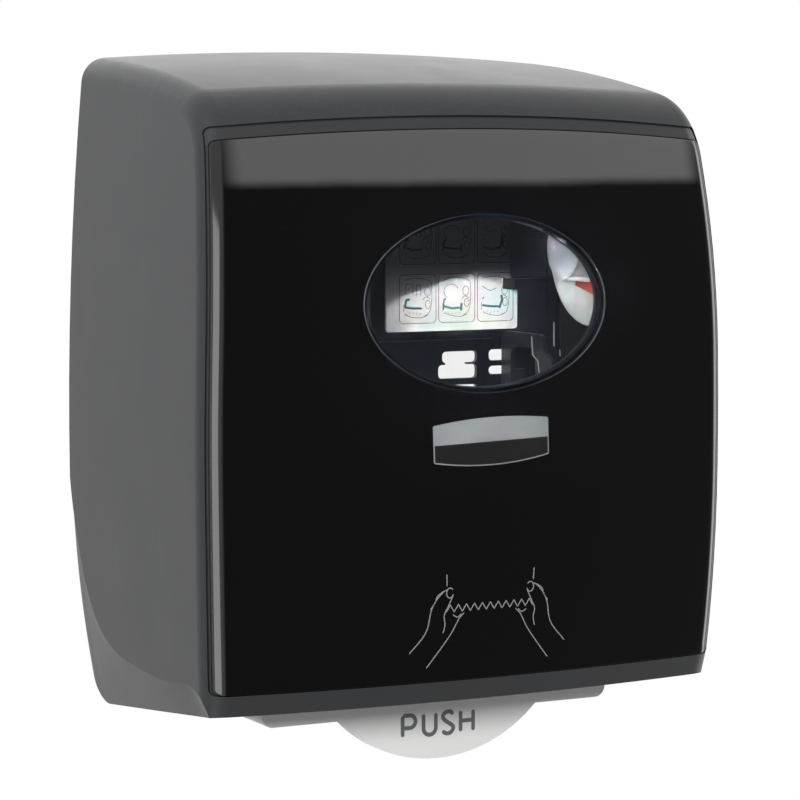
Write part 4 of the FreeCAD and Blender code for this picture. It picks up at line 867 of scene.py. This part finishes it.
@dataclass
class GlossPanel:
    """Glossy skin of the cover: a sheet between the window's ellipse and the panel's outline."""

    form: FrontForm
    thickness: float = 1.6
    margin: float = 4.0
    bottom: float = 11.0
    top: float = 279.0
    top_rise: float = 6.0
    corner: float = 4.0
    edge_round: float = 0.5
    rim_band: float = 16.0
    window: WindowShape = field(default_factory=WindowShape)

    def outline(self, inset: float) -> Array:
        """Closed outline, counter-clockwise: barrel sides, level bottom, arched top, round corners.

        Args:
            inset: Distance inwards from the panel's edge.

        Returns:
            The outline's points (x, up).
        """
        low, high = self.bottom + inset, self.top - inset
        radius = max(self.corner - inset, 0.05)
        sides = np.linspace(low + radius, high - radius, 150)
        edge = self.form.half(sides) - self.margin - inset
        slope_low, slope_high = edge[0] - radius, edge[-1] - radius
        turn = np.linspace(0.0, math.pi / 2, 14)[1:-1]
        bottom_x = np.linspace(-slope_low, slope_low, 100)
        top_x = np.linspace(slope_high, -slope_high, 110)
        arch = self.top_rise * (1.0 - (top_x / (slope_high + radius)) ** 2)
        rise = self.top_rise * (1.0 - (slope_high / (slope_high + radius)) ** 2)
        lower_right = (slope_low + radius * np.sin(turn), low + radius * (1 - np.cos(turn)))
        upper_right = (slope_high + radius * np.cos(turn), high - radius + (radius + rise) * np.sin(turn))
        x = np.concatenate([bottom_x, lower_right[0], edge, upper_right[0], top_x, -upper_right[0][::-1],
                            -edge[::-1], -lower_right[0][::-1]])
        level = np.full(bottom_x.size, low)
        up = np.concatenate([level, lower_right[1], sides, upper_right[1], high + arch,
                             upper_right[1][::-1], sides[::-1], lower_right[1][::-1]])
        return np.stack([x, up], axis=1)

    def build(self) -> bpy.types.Object:
        """Builds the sheet in loops, from the back of the window's edge over the front and round the rim.

        Returns:
            The new object.
        """
        outer, hole = self.outline(0.0), self.window
        angle = np.arctan2((outer[:, 1] - hole.up) / hole.half_up, outer[:, 0] / hole.half_x)
        spread = np.stack([np.cos(angle), np.sin(angle)], axis=1)
        ellipse = np.stack([hole.half_x * spread[:, 0], hole.up + hole.half_up * spread[:, 1]], axis=1)
        roll = self.edge_round
        turn = np.linspace(0.0, math.pi / 2, 5)
        near_rim = np.linspace(roll, self.rim_band, 26)
        loops = [(ellipse, -self.thickness), (ellipse, -roll)]
        loops += [(ellipse + spread * roll * (1 - math.cos(a)), -roll * (1 - math.sin(a))) for a in turn[1:]]
        inner_front, rim = loops[-1][0], self.outline(near_rim[-1])
        loops += [(inner_front + (rim - inner_front) * share, 0.0) for share in np.linspace(0, 1, 34)[1:-1]]
        loops += [(self.outline(inset), 0.0) for inset in near_rim[::-1]]
        loops += [(self.outline(roll * (1 - math.sin(a))), -roll * (1 - math.cos(a))) for a in turn[1:]]
        loops += [(outer, -self.thickness), (self.outline(self.rim_band), -self.thickness)]
        points = [self.form.at(place[:, 0], place[:, 1], depth)[0] for place, depth in loops]
        stock = MeshStock()
        stock.add(np.stack(points), grid_quads(len(points), len(outer), True, True))
        made = stock.piece("gloss_panel")
        made.data.materials.append(FINISHES["gloss_black"].material())
        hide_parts("front_panel")
        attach(made, "cover")
        return made


@dataclass
class Window:
    """Clear window: a dished face with a rolled edge, a skirt and a flange behind the panel."""

    form: FrontForm
    shape: WindowShape = field(default_factory=WindowShape)
    gap: float = 0.3
    proud: float = 1.2
    roll: float = 1.3
    wall: float = 2.0
    flange: float = 5.0
    panel_back: float = 3.1

    def build(self) -> bpy.types.Object:
        """Builds the shell in rings: outer face, rolled edge, skirt, flange and the hollow behind.

        Returns:
            The new object.
        """
        half_x, half_up = self.shape.half_x - self.gap, self.shape.half_up - self.gap
        turn = np.linspace(0.0, math.pi / 2, 7)
        rows: list[tuple[float, float, float]] = [(-1e-3 - half_x * (1 - share), self.proud, 0.0)
                                                  for share in np.linspace(0.02, 1, 26)[:-2]]
        # The mark on the rolled edge places the window's painted rim highlight.
        rows += [(-self.roll * (1 - math.sin(a)), self.proud - self.roll * (1 - math.cos(a)),
                  math.sin(a) ** 8) for a in turn]
        seat, foot = -self.panel_back, -self.panel_back - self.wall
        rows += [(0.0, seat, -1.0), (self.flange, seat, -1.0), (self.flange, foot, -1.0),
                 (-self.wall, foot, -1.0), (-self.wall, self.proud - self.wall, -0.3)]
        rows += [(-1e-3 - half_x * (1 - share), self.proud - self.wall, 0.0)
                 for share in np.linspace(0.02, 0.94, 12)[::-1]]
        angle = np.linspace(0.0, 2 * math.pi, 240, endpoint=False)
        points, edge = [], []
        for grow, out, mark in rows:
            along = max(1.0 + grow / half_x, 0.0) if grow < -self.wall else 1.0
            extra = grow if grow >= -self.wall else 0.0
            x = (half_x * along + extra) * np.cos(angle)
            up = self.shape.up + (half_up * along + extra) * np.sin(angle)
            points.append(self.form.at(x, up, out)[0])
            edge.append(np.full(angle.size, mark))
        stock = MeshStock()
        middle = np.array([0.0]), np.array([self.shape.up])
        front_pole = self.form.at(*middle, self.proud)[0]
        back_pole = self.form.at(*middle, self.proud - self.wall)[0]
        n, count = angle.size, len(rows) * angle.size
        ring = np.arange(n)
        caps = np.stack([np.full(n, count), ring, (ring + 1) % n], axis=1).tolist()
        base = (len(rows) - 1) * n
        caps += np.stack([np.full(n, count + 1), base + (ring + 1) % n, base + ring], axis=1).tolist()
        quads = grid_quads(len(rows), n, wrap_columns=True)[:, ::-1].tolist()
        stock.add(np.concatenate([np.concatenate(points), front_pole, back_pole]), quads + caps)
        made = stock.piece("window_face")
        marks = made.data.attributes.new("edge", "FLOAT", "POINT")
        marks.data.foreach_set("value", np.concatenate([np.concatenate(edge), [0.0, 0.0]]).astype(np.float32))
        made.data.materials.append(FINISHES["smoked_clear"].material())
        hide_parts("window_lens")
        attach(made, "cover")
        return made


@dataclass
class Badge:
    """Plain two-tone plate under the window, bare of any mark, slightly turned."""

    form: FrontForm
    middle_x: float = 0.9
    middle_up: float = 131.0
    half_x: float = 32.6
    half_up: float = 9.3
    corner: float = 0.8
    lean: float = math.radians(1.8)
    thickness: float = 0.5
    border: float = 0.6
    split: float = -0.4
    arch_low: float = 3.0
    arch_high: float = 2.3
    field_corner: float = 0.4
    field_sunk: float = 0.1
    field_thickness: float = 0.16

    def slab(self, half_x: float, low: float, high: float, radius: float, out: float, thick: float,
             arch_low: float, arch_high: float) -> MeshStock:
        """Plate that follows the front, with round corners and edges arched as arch * (1 - (u / half)^2).

        Args:
            half_x: Half width.
            low: Lower edge from the middle.
            high: Upper edge from the middle.
            radius: Corner radius.
            out: Height of its back above the front.
            thick: Thickness.
            arch_low: How far the lower edge bulges down in its middle.
            arch_high: How far the upper edge bulges up in its middle.

        Returns:
            The plate's mesh.
        """
        middle, half = (low + high) / 2, (high - low) / 2
        rise = np.linspace(-1.0, 1.0, 25)
        v = half * np.sin(rise * math.pi / 2)
        over = np.clip(np.abs(v) - (half - radius), 0.0, radius)
        reach = half_x - radius + np.sqrt(np.maximum(radius**2 - over**2, 0.0))
        u = np.sin(np.linspace(-1.0, 1.0, 61) * math.pi / 2)[None, :] * reach[:, None]
        crown = 1.0 - (u / half_x) ** 2
        share = (v[:, None] / half + 1.0) / 2
        grid_v = v[:, None] + middle + crown * (share * arch_high - (1.0 - share) * arch_low)
        x = self.middle_x + u * math.cos(self.lean) - grid_v * math.sin(self.lean)
        up = self.middle_up + u * math.sin(self.lean) + grid_v * math.cos(self.lean)
        front, normal = self.form.at(x, up, out + thick)
        back = front - thick * normal
        rows, columns = u.shape
        count = rows * columns
        rim = np.concatenate([np.arange(columns), np.arange(1, rows) * columns + columns - 1,
                              (rows - 1) * columns + np.arange(columns - 1)[::-1],
                              np.arange(1, rows - 1)[::-1] * columns])
        after = np.roll(rim, -1)
        faces = grid_quads(rows, columns).tolist()
        faces += (grid_quads(rows, columns)[:, ::-1] + count).tolist()
        faces += np.stack([rim + count, after + count, after, rim], axis=1).tolist()
        stock = MeshStock()
        stock.add(np.concatenate([front.reshape(-1, 3), back.reshape(-1, 3)]), faces)
        return stock

    def build(self) -> list[bpy.types.Object]:
        """Builds the silver plate and the dark field on it.

        Returns:
            The two new objects.
        """
        plate = self.slab(self.half_x, -self.half_up, self.half_up, self.corner, 0.0, self.thickness,
                          self.arch_low, self.arch_high)
        dark = self.slab(self.half_x - self.border, -self.half_up + self.border, self.split,
                         self.field_corner, self.thickness - self.field_sunk, self.field_thickness,
                         self.arch_low, 0.0)
        parts = [("badge_silver", Ink.PLATE, plate), ("badge_dark", Ink.PLATE_DARK, dark)]
        pieces = []
        for name, ink, stock in parts:
            made = stock.piece(name, smooth=False)
            made.data.materials.append(ink.value.material())
            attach(made, "cover")
            pieces.append(made)
        return pieces


@dataclass
class TearSign:
    """Line drawing of two hands that tear a sheet along a toothed edge, raised a hair on the panel."""

    form: FrontForm
    middle_x: float = 1.6
    middle_up: float = 48.0
    half_teeth: float = 24.8
    tooth_count: int = 11
    tooth_height: float = 3.6
    line: float = 0.54
    lean: float = math.radians(0.4)

    def lay(self, places: Array) -> tuple[Array, Array]:
        """Puts (x, up) about the sign's middle on the panel."""
        x = self.middle_x + places[:, 0] * math.cos(self.lean) - places[:, 1] * math.sin(self.lean)
        up = self.middle_up + places[:, 0] * math.sin(self.lean) + places[:, 1] * math.cos(self.lean)
        return self.form.at(x, up, HAIR)

    def build(self) -> bpy.types.Object:
        """Draws the teeth, then one hand and its mirror."""
        strokes = StrokeSet(self.lay, self.line)
        count = 2 * self.tooth_count + 1
        teeth = np.stack([np.linspace(-self.half_teeth, self.half_teeth, count),
                          self.tooth_height / 2 * np.where(np.arange(count) % 2, 1.0, -1.0)], axis=1)
        strokes.stroke(teeth, step=0.4)
        hand = [
            [(-44.5, -21.5), (-37.5, -14.0), (-34.6, -8.5), (-33.2, -1.0), (-30.5, 4.5), (-26.8, 8.4),
             (-24.6, 9.6)],
            [(-33.6, 0.0), (-31.0, 3.6), (-29.8, 6.6), (-26.2, 9.2)],
            [(-34.8, -29.5), (-27.5, -20.5), (-21.5, -12.5), (-17.6, -5.6), (-14.6, -2.6)],
            [(-26.2, -12.4), (-25.2, -8.0), (-25.8, -3.4), (-24.0, 0.6), (-22.2, 4.2), (-21.2, 6.4)],
            [(-21.0, -3.2), (-18.4, -4.6), (-16.2, -3.0)],
        ]
        for side in (1.0, -1.0):
            for points in hand:
                strokes.stroke([(side * x, up) for x, up in points], curved=True)
            strokes.ring((side * -22.9, 7.9), 1.9, 2.5, 0.86, 0.1 if side > 0 else -0.46)
            strokes.stroke([(side * -24.6, 11.2), (side * -24.9, 17.6)])
        return strokes.piece("tear_sign", Ink.OUTLINE, "cover")


@dataclass
class LeverWord:
    """The word PUSH, printed on the lever's front in rounded strokes."""

    front_y: float
    middle_x: float = -0.3
    middle_up: float = -20.4
    height: float = 13.2
    line: float = 2.15

    def lay(self, places: Array) -> tuple[Array, Array]:
        """Puts (x, up) on the lever's flat front."""
        return on_flat(self.middle_x + places[:, 0], self.middle_up + places[:, 1], self.front_y)

    def build(self) -> bpy.types.Object:
        """Draws the four letters from stems, half rings and one double bend."""
        strokes = StrokeSet(self.lay, self.line, 0.05)
        low, high = -self.height / 2 + self.line / 2, self.height / 2 - self.line / 2
        left = (-20.4, -8.3, 3.0, 13.4)
        bowl = 0.5 * (high + 1.0)
        arc = np.linspace(math.pi / 2, -math.pi / 2, 14)
        p_bowl = np.stack([left[0] + 4.2 + bowl * np.cos(arc), high - bowl + bowl * np.sin(arc)], axis=1)
        strokes.stroke([(left[0], low), (left[0], high)])
        strokes.stroke(np.concatenate([[(left[0], high)], p_bowl, [(left[0], high - 2 * bowl)]]))
        under = np.linspace(math.pi, 2 * math.pi, 18)
        u_half = 3.6
        cup = np.stack([left[1] + u_half + u_half * np.cos(under),
                        low + u_half + u_half * np.sin(under)], axis=1)
        strokes.stroke(np.concatenate([[(left[1], high)], cup, [(left[1] + 2 * u_half, high)]]))
        middle = left[2] + 3.0
        strokes.stroke([(middle + 3.1, high - 1.5), (middle + 1.2, high + 0.1), (middle - 1.6, high - 0.3),
                        (middle - 3.0, high - 2.4), (middle - 1.7, 1.2), (middle + 1.4, -0.9),
                        (middle + 3.2, low + 2.8), (middle + 1.7, low + 0.3), (middle - 1.2, low - 0.1),
                        (middle - 3.3, low + 1.4)], curved=True)
        strokes.stroke([(left[3], low), (left[3], high)])
        right = left[3] + 7.4
        strokes.stroke([(right, low), (right, high)])
        strokes.stroke([(left[3], 0.2), (right, 0.2)])
        return strokes.piece("lever_word", Ink.WORD, "lever")


@dataclass
class InstructionPrint:
    """Rows of framed line drawings on the plate behind the window: generic steps of loading a roll."""

    front_y: float
    left: float = 46.4
    cell_width: float = 23.0
    cell_height: float = 27.2
    pitch_x: float = 24.7
    pitch_up: float = 33.0
    low: float = 177.5
    columns: int = 3
    rows: int = 3
    seed: int = 7

    def lay(self, places: Array) -> tuple[Array, Array]:
        """Puts (x, up) on the plate's flat front."""
        return on_flat(places[:, 0], places[:, 1], self.front_y)

    def frame(self, strokes: StrokeSet, x: float, up: float) -> None:
        """Draws a rounded frame with its lower left corner at (x, up)."""
        radius, width, height = 2.6, self.cell_width, self.cell_height
        turn = np.linspace(0.0, math.pi / 2, 7)
        near, far = x + radius, x + width - radius
        low, high = up + radius, up + height - radius
        corners = [(far, low, -math.pi / 2), (far, high, 0.0), (near, high, math.pi / 2),
                   (near, low, math.pi)]
        points = np.concatenate([
            np.stack([cx + radius * np.cos(turn + a), cu + radius * np.sin(turn + a)], axis=1)
            for cx, cu, a in corners])
        strokes.stroke(np.concatenate([points, points[:1]]), width=0.34, step=1.5)

    def drawing(self, dark: StrokeSet, teal: StrokeSet, x: float, up: float, kind: int) -> None:
        """Draws one step: an open box, a roll between two arms and a hand, varied by its kind.

        Args:
            dark: Strokes of dark ink.
            teal: Strokes of teal ink.
            x: Left edge of the cell.
            up: Lower edge of the cell.
            kind: Number of the step.
        """
        chance = np.random.default_rng(self.seed + kind)
        wobble = chance.uniform(-0.5, 0.5, 12)

        def put(ink: StrokeSet, points: Sequence[Sequence[float]], curved: bool = False,
                width: float | None = None) -> None:
            """Draws a stroke whose points are counted from the cell's lower left corner."""
            ink.stroke([(x + across, up + rise) for across, rise in points], curved, width)

        put(dark, [(3, 24 + wobble[0]), (9, 25.2), (16, 24.6), (20, 23)], curved=True)
        put(dark, [(20, 23), (20.4, 14), (19, 6 + wobble[1]), (15, 3.4)], curved=True)
        dark.ring((x + 17.4 + wobble[2], up + 17.6), 1.9, 2.6)
        dark.ring((x + 17.8, up + 10.6 + wobble[3]), 1.5, 2.3)
        put(dark, [(14.6, 13), (16.6, 14.6), (19.4, 13.4)], curved=True)
        put(dark, [(3, 5.4), (8, 3.6 + wobble[4]), (14, 3.2), (18, 4.6)], curved=True)
        put(teal, [(2.8, 9.2), (8.4, 8.0 + wobble[5]), (14.4, 8.2)], width=1.2)
        if kind % 3 == 0:
            put(dark, [(4, 16), (4, 22), (8.4, 22), (8.4, 16)])
            put(dark, [(5, 18.6), (7.4, 20.4)])
            put(dark, [(10.6, 15), (10.6, 21.4), (13.4, 21.4), (13.4, 15)])
            put(teal, [(3.4, 9.0), (4.2, 12.8), (6.6, 13.4)], curved=True, width=1.3)
        elif kind % 3 == 1:
            put(teal, [(3.0, 7.0), (3.4, 12.4), (4.8, 13.4)], curved=True, width=0.9)
            put(teal, [(14.2, 6.2), (14.6, 11.0)], width=1.4)
            dark.ring((x + 8.0, up + 17.4), 4.6, 4.0, 0.62, 0.05)
        else:
            put(teal, [(3.0, 12.6), (4.4, 13.8)], width=0.9)
            put(teal, [(14.0, 7.0), (15.8, 12.2), (15.2, 14.8)], curved=True, width=1.3)
            put(dark, [(3, 20), (8, 17.4), (12.4, 18.8)], curved=True)
        put(dark, [(2.6, 6.2), (2.6, 11.0)])
        for k in range(5):
            spot, tilt = 3.6 + 2.2 * k, wobble[6 + k]
            put(dark, [(spot, 4.9 + tilt), (spot + 1.3, 5.9 + tilt)])

    def build(self) -> list[bpy.types.Object]:
        """Draws every cell and makes one piece for each ink."""
        dark, teal = StrokeSet(self.lay, 0.3), StrokeSet(self.lay, 1.2)
        for row in range(self.rows):
            for column in range(self.columns):
                x, up = self.left + column * self.pitch_x, self.low + row * self.pitch_up
                self.frame(dark, x, up)
                self.drawing(dark, teal, x, up, row * self.columns + column)
        return [dark.piece("print_lines", Ink.SKETCH, "housing"),
                teal.piece("print_teal", Ink.TEAL, "housing")]


@dataclass
class StepHighlights:
    """Painted highlights: pale beads along the moulded steps of the right side plate and of the back plate's
    wall, standing in for light caught on those edges.
    """

    wire: float = 0.35

    def edge(self, points: Sequence[Sequence[float]]) -> tuple[Array, list[list[int]]]:
        """Thin round bead along corners (x, y, up): a ring of points carried along the broken line."""
        path = even_path(np.asarray(points, float), 1.5)
        return sweep(path, np.broadcast_to(AHEAD, path.shape), round_section(self.wire))

    def build(self) -> bpy.types.Object:
        """Builds the painted highlight beads as one piece."""
        stock = MeshStock()
        plate_step = [(112.0, -37.6, 170.4), (112.0, -38.6, 160.2), (112.0, -44.3, 157.6),
                      (112.0, -46.9, 147.6)]
        wall_step = [(141.0, -12.2, 176.4), (141.3, -11.8, 163.2), (143.2, -14.8, 160.7),
                     (143.4, -15.2, 157.2)]
        for points in (plate_step, wall_step):
            stock.add(*self.edge(points))
        made = stock.piece("step_edge_highlights")
        # Pale label finish, so that the beads read as painted highlights on the step edges.
        made.data.materials.append(FINISHES["label_white"].material())
        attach(made, "housing")
        return made


@dataclass
class CoilSpring:
    """Wound wire spring in place of a plain sleeve, on an axis along X or Z, with two legs."""

    name: str
    centre: tuple[float, float, float]
    along: int
    length: float
    radius: float
    wire: float
    leg: float = 9.0
    leg_turn: float = 0.0

    def coil(self) -> tuple[Array, list[list[int]]]:
        """Wire along centre + radius (cos, sin) with an even climb, and a straight leg at each end.

        Returns:
            The points and the faces.
        """
        turns = max(2.0, math.floor((self.length - self.wire) / (self.wire * 1.08)) + 0.5)
        angle = np.linspace(0.0, 2 * math.pi * turns, int(turns * 26)) + self.leg_turn
        climb = np.linspace(-0.5, 0.5, angle.size) * (self.length - self.wire)
        reach = self.radius - self.wire / 2
        ring, tangent = (np.cos(angle), np.sin(angle)), (-np.sin(angle), np.cos(angle))
        walk = np.linspace(self.leg, 0.5, 8)
        first = [reach * ring[k][0] - walk * tangent[k][0] for k in range(2)]
        last = [reach * ring[k][-1] + walk[::-1] * tangent[k][-1] for k in range(2)]
        flat = [np.concatenate([first[k], reach * ring[k], last[k]]) for k in range(2)]
        rise = np.concatenate([np.full(8, climb[0]), climb, np.full(8, climb[-1])])
        axes = [k for k in range(3) if k != self.along]
        path = np.zeros((rise.size, 3))
        path[:, axes[0]], path[:, axes[1]], path[:, self.along] = flat[0], flat[1], rise
        outward = np.zeros_like(path)
        outward[:, self.along] = 1.0
        return sweep(path + np.array(self.centre), outward, round_section(self.wire / 2))


@dataclass
class Springs:
    """All the wound springs of the dispenser."""

    groups: Mapping[str, Sequence[CoilSpring]]

    def build(self) -> list[bpy.types.Object]:
        """Makes one piece for each CAD node of springs."""
        made = []
        for node, coils in self.groups.items():
            stock = MeshStock()
            for coil in coils:
                stock.add(*coil.coil())
            piece = stock.piece(f"{node}_wound")
            piece.data.materials.append(FINISHES["spring_steel"].material())
            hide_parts(node)
            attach(piece, "housing")
            made.append(piece)
        return made


# ------------------------------------------------------------------ studio
@dataclass(frozen=True)
class Lamp:
    """Soft area lamp; it can be kept off matte faces or out of mirrors, and narrowed in degrees."""

    name: str
    place: tuple[float, float, float]
    aim: tuple[float, float, float]
    width: float
    height: float
    watts: float
    lights_matte: bool = True
    mirrored: bool = True
    spread: float = 180.0


@dataclass
class Studio:
    """Pale room: floor, even light from the world, soft lamps and the camera."""

    ambient: float = 0.21
    floor_z: float = -1.3
    floor_half: float = 9.0
    camera_place: tuple[float, float, float] = (-0.741314, -1.527306, 0.111025)
    camera_pitch: float = 90.0 - 4.864
    camera_turn: float = -27.358
    lens: float = 139.115
    lamps: Sequence[Lamp] = (
        Lamp("key_front", (-0.91, -2.05, 0.70), (0.0, -0.1, 0.0), 1.0, 0.6, 38.0, mirrored=False),
        Lamp("fill_left", (-0.88, -0.28, 0.86), (0.0, -0.1, 0.0), 0.6, 0.6, 15.5, mirrored=False),
        Lamp("through_window", (-1.00, -2.06, 0.42), (-0.002, -0.19, 0.026), 0.12, 0.12, 0.088,
             mirrored=False, spread=2.6),
        Lamp("at_hub", (-1.50, -1.75, 0.12), (0.034, -0.19, 0.040), 0.08, 0.08, 0.045,
             mirrored=False, spread=2.2),
        Lamp("strip_front", (-1.75, -1.35, -0.30), (0.0, -0.15, -0.2), 1.3, 1.9, 32.0, lights_matte=False),
        Lamp("strip_right", (1.9, -0.2, 0.1), (0.15, -0.15, 0.0), 0.5, 2.0, 10.0, lights_matte=False),
        Lamp("sheen_behind", (0.5, 2.2, 0.9), (0.0, -0.05, 0.15), 2.2, 0.8, 4.2, lights_matte=False),
    )

    def white_for_sight(self, recipe: Recipe) -> Wire:
        """1 for rays from the camera, mirrors and clear plastic, 0 for the rest."""
        path = recipe.node("ShaderNodeLightPath")
        camera, glossy, clear = (Wire(recipe, path.outputs[name]) for name in
                                 ("Is Camera Ray", "Is Glossy Ray", "Is Transmission Ray"))
        return camera.at_least(glossy).at_least(clear)

    def world(self) -> None:
        """White to the eye and to mirrors, softer as light."""
        world = bpy.data.worlds.new("room")
        world.use_nodes = True
        recipe = Recipe(world.node_tree)
        strength = self.ambient + (1.0 - self.ambient) * self.white_for_sight(recipe)
        back = recipe.wire("ShaderNodeBackground", 0, None,
                           {"Color": (1.0, 1.0, 1.0, 1.0), "Strength": strength})
        recipe.node("ShaderNodeOutputWorld", None, {"Surface": back})
        bpy.context.scene.world = world

    def floor(self) -> None:
        """Wide pale floor at the foot of the wall."""
        half = self.floor_half
        mesh = bpy.data.meshes.new("floor")
        corners = [(-half, -half, 0), (half, -half, 0), (half, half, 0), (-half, half, 0)]
        mesh.from_pydata(corners, [], [(0, 1, 2, 3)])
        made = bpy.data.objects.new("floor", mesh)
        made.location = (0.0, 0.0, self.floor_z)
        bpy.context.scene.collection.objects.link(made)
        recipe, material = Recipe.for_material("floor_pale")
        matte = recipe.wire("ShaderNodeBsdfDiffuse", 0, None, {"Color": (0.5, 0.5, 0.5, 1.0)})
        glow = recipe.wire("ShaderNodeEmission", 0, None, {"Color": (1.0, 1.0, 1.0, 1.0), "Strength": 1.03})
        share = self.white_for_sight(recipe) * 0.97
        recipe.surface(recipe.wire("ShaderNodeMixShader", 0, None, {0: share, 1: matte, 2: glow}))
        mesh.materials.append(material)

    def light(self) -> None:
        """Hangs the lamps."""
        for lamp in self.lamps:
            data = bpy.data.lights.new(lamp.name, "AREA")
            data.shape, data.size, data.size_y, data.energy = "RECTANGLE", lamp.width, lamp.height, lamp.watts
            data.spread = math.radians(lamp.spread)
            made = bpy.data.objects.new(lamp.name, data)
            made.location = lamp.place
            aim = Vector(lamp.aim) - Vector(lamp.place)
            made.rotation_euler = aim.to_track_quat("-Z", "Y").to_euler()
            made.visible_diffuse = lamp.lights_matte
            made.visible_glossy = lamp.mirrored
            made.visible_camera = False
            bpy.context.scene.collection.objects.link(made)

    def camera(self) -> None:
        """Sets up the camera."""
        data = bpy.data.cameras.new("camera")
        data.lens, data.sensor_width, data.clip_end = self.lens, 36.0, 60.0
        made = bpy.data.objects.new("camera", data)
        made.location = self.camera_place
        made.rotation_euler = (math.radians(self.camera_pitch), 0.0, math.radians(self.camera_turn))
        bpy.context.scene.collection.objects.link(made)
        bpy.context.scene.camera = made

    def build(self) -> None:
        """Builds the room."""
        self.world()
        self.floor()
        self.light()
        self.camera()
        bpy.context.scene.view_settings.view_transform = "Standard"


def dress_frame(frame: Mapping[str, Any]) -> None:
    """Gives every CAD node the finish of its material slot.
    """
    made = {slot: finish.material() for slot, finish in FINISHES.items()}
    slots = {part["node"]: part["material_slot"] for part in frame["record"]["subparts"]}
    for name, node in frame["nodes"].items():
        material = made[slots[name]]
        if node.material_slots:
            for slot in node.material_slots:
                slot.material = material
        else:
            node.data.materials.append(material)
    LOG.info("dressed %d frame nodes", len(frame["nodes"]))


def main() -> None:
    """Loads the frame, dresses it and builds every piece round it."""
    logging.basicConfig(level=logging.INFO, format="%(name)s: %(message)s")
    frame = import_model()
    Studio().build()
    dress_frame(frame)
    form = FrontForm()
    GlossPanel(form).build()
    Window(form).build()
    Badge(form).build()
    TearSign(form).build()
    lever_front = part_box("push_lever")[0].y / MM
    LeverWord(lever_front).build()
    plate_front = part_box("instruction_plate")[0].y / MM
    InstructionPrint(plate_front).build()
    StepHighlights().build()
    Springs({
        "lever_spring": [CoilSpring("lever", (-107.5, -127.98, 13.99), 0, 8.4, 5.6, 1.3)],
        "pinch_springs": [CoilSpring(f"pinch_{side}", (side * 110.5, -48.0, 92.0), 0, 2.6, 6.2, 1.2)
                          for side in (-1, 1)],
        "arm_springs": [CoilSpring(f"arm_{side}", (side * 120.0, -12.0, 252.45), 2, 7.5, 5.0, 1.5)
                        for side in (-1, 1)],
    }).build()


if __name__ == "__main__":
    main()
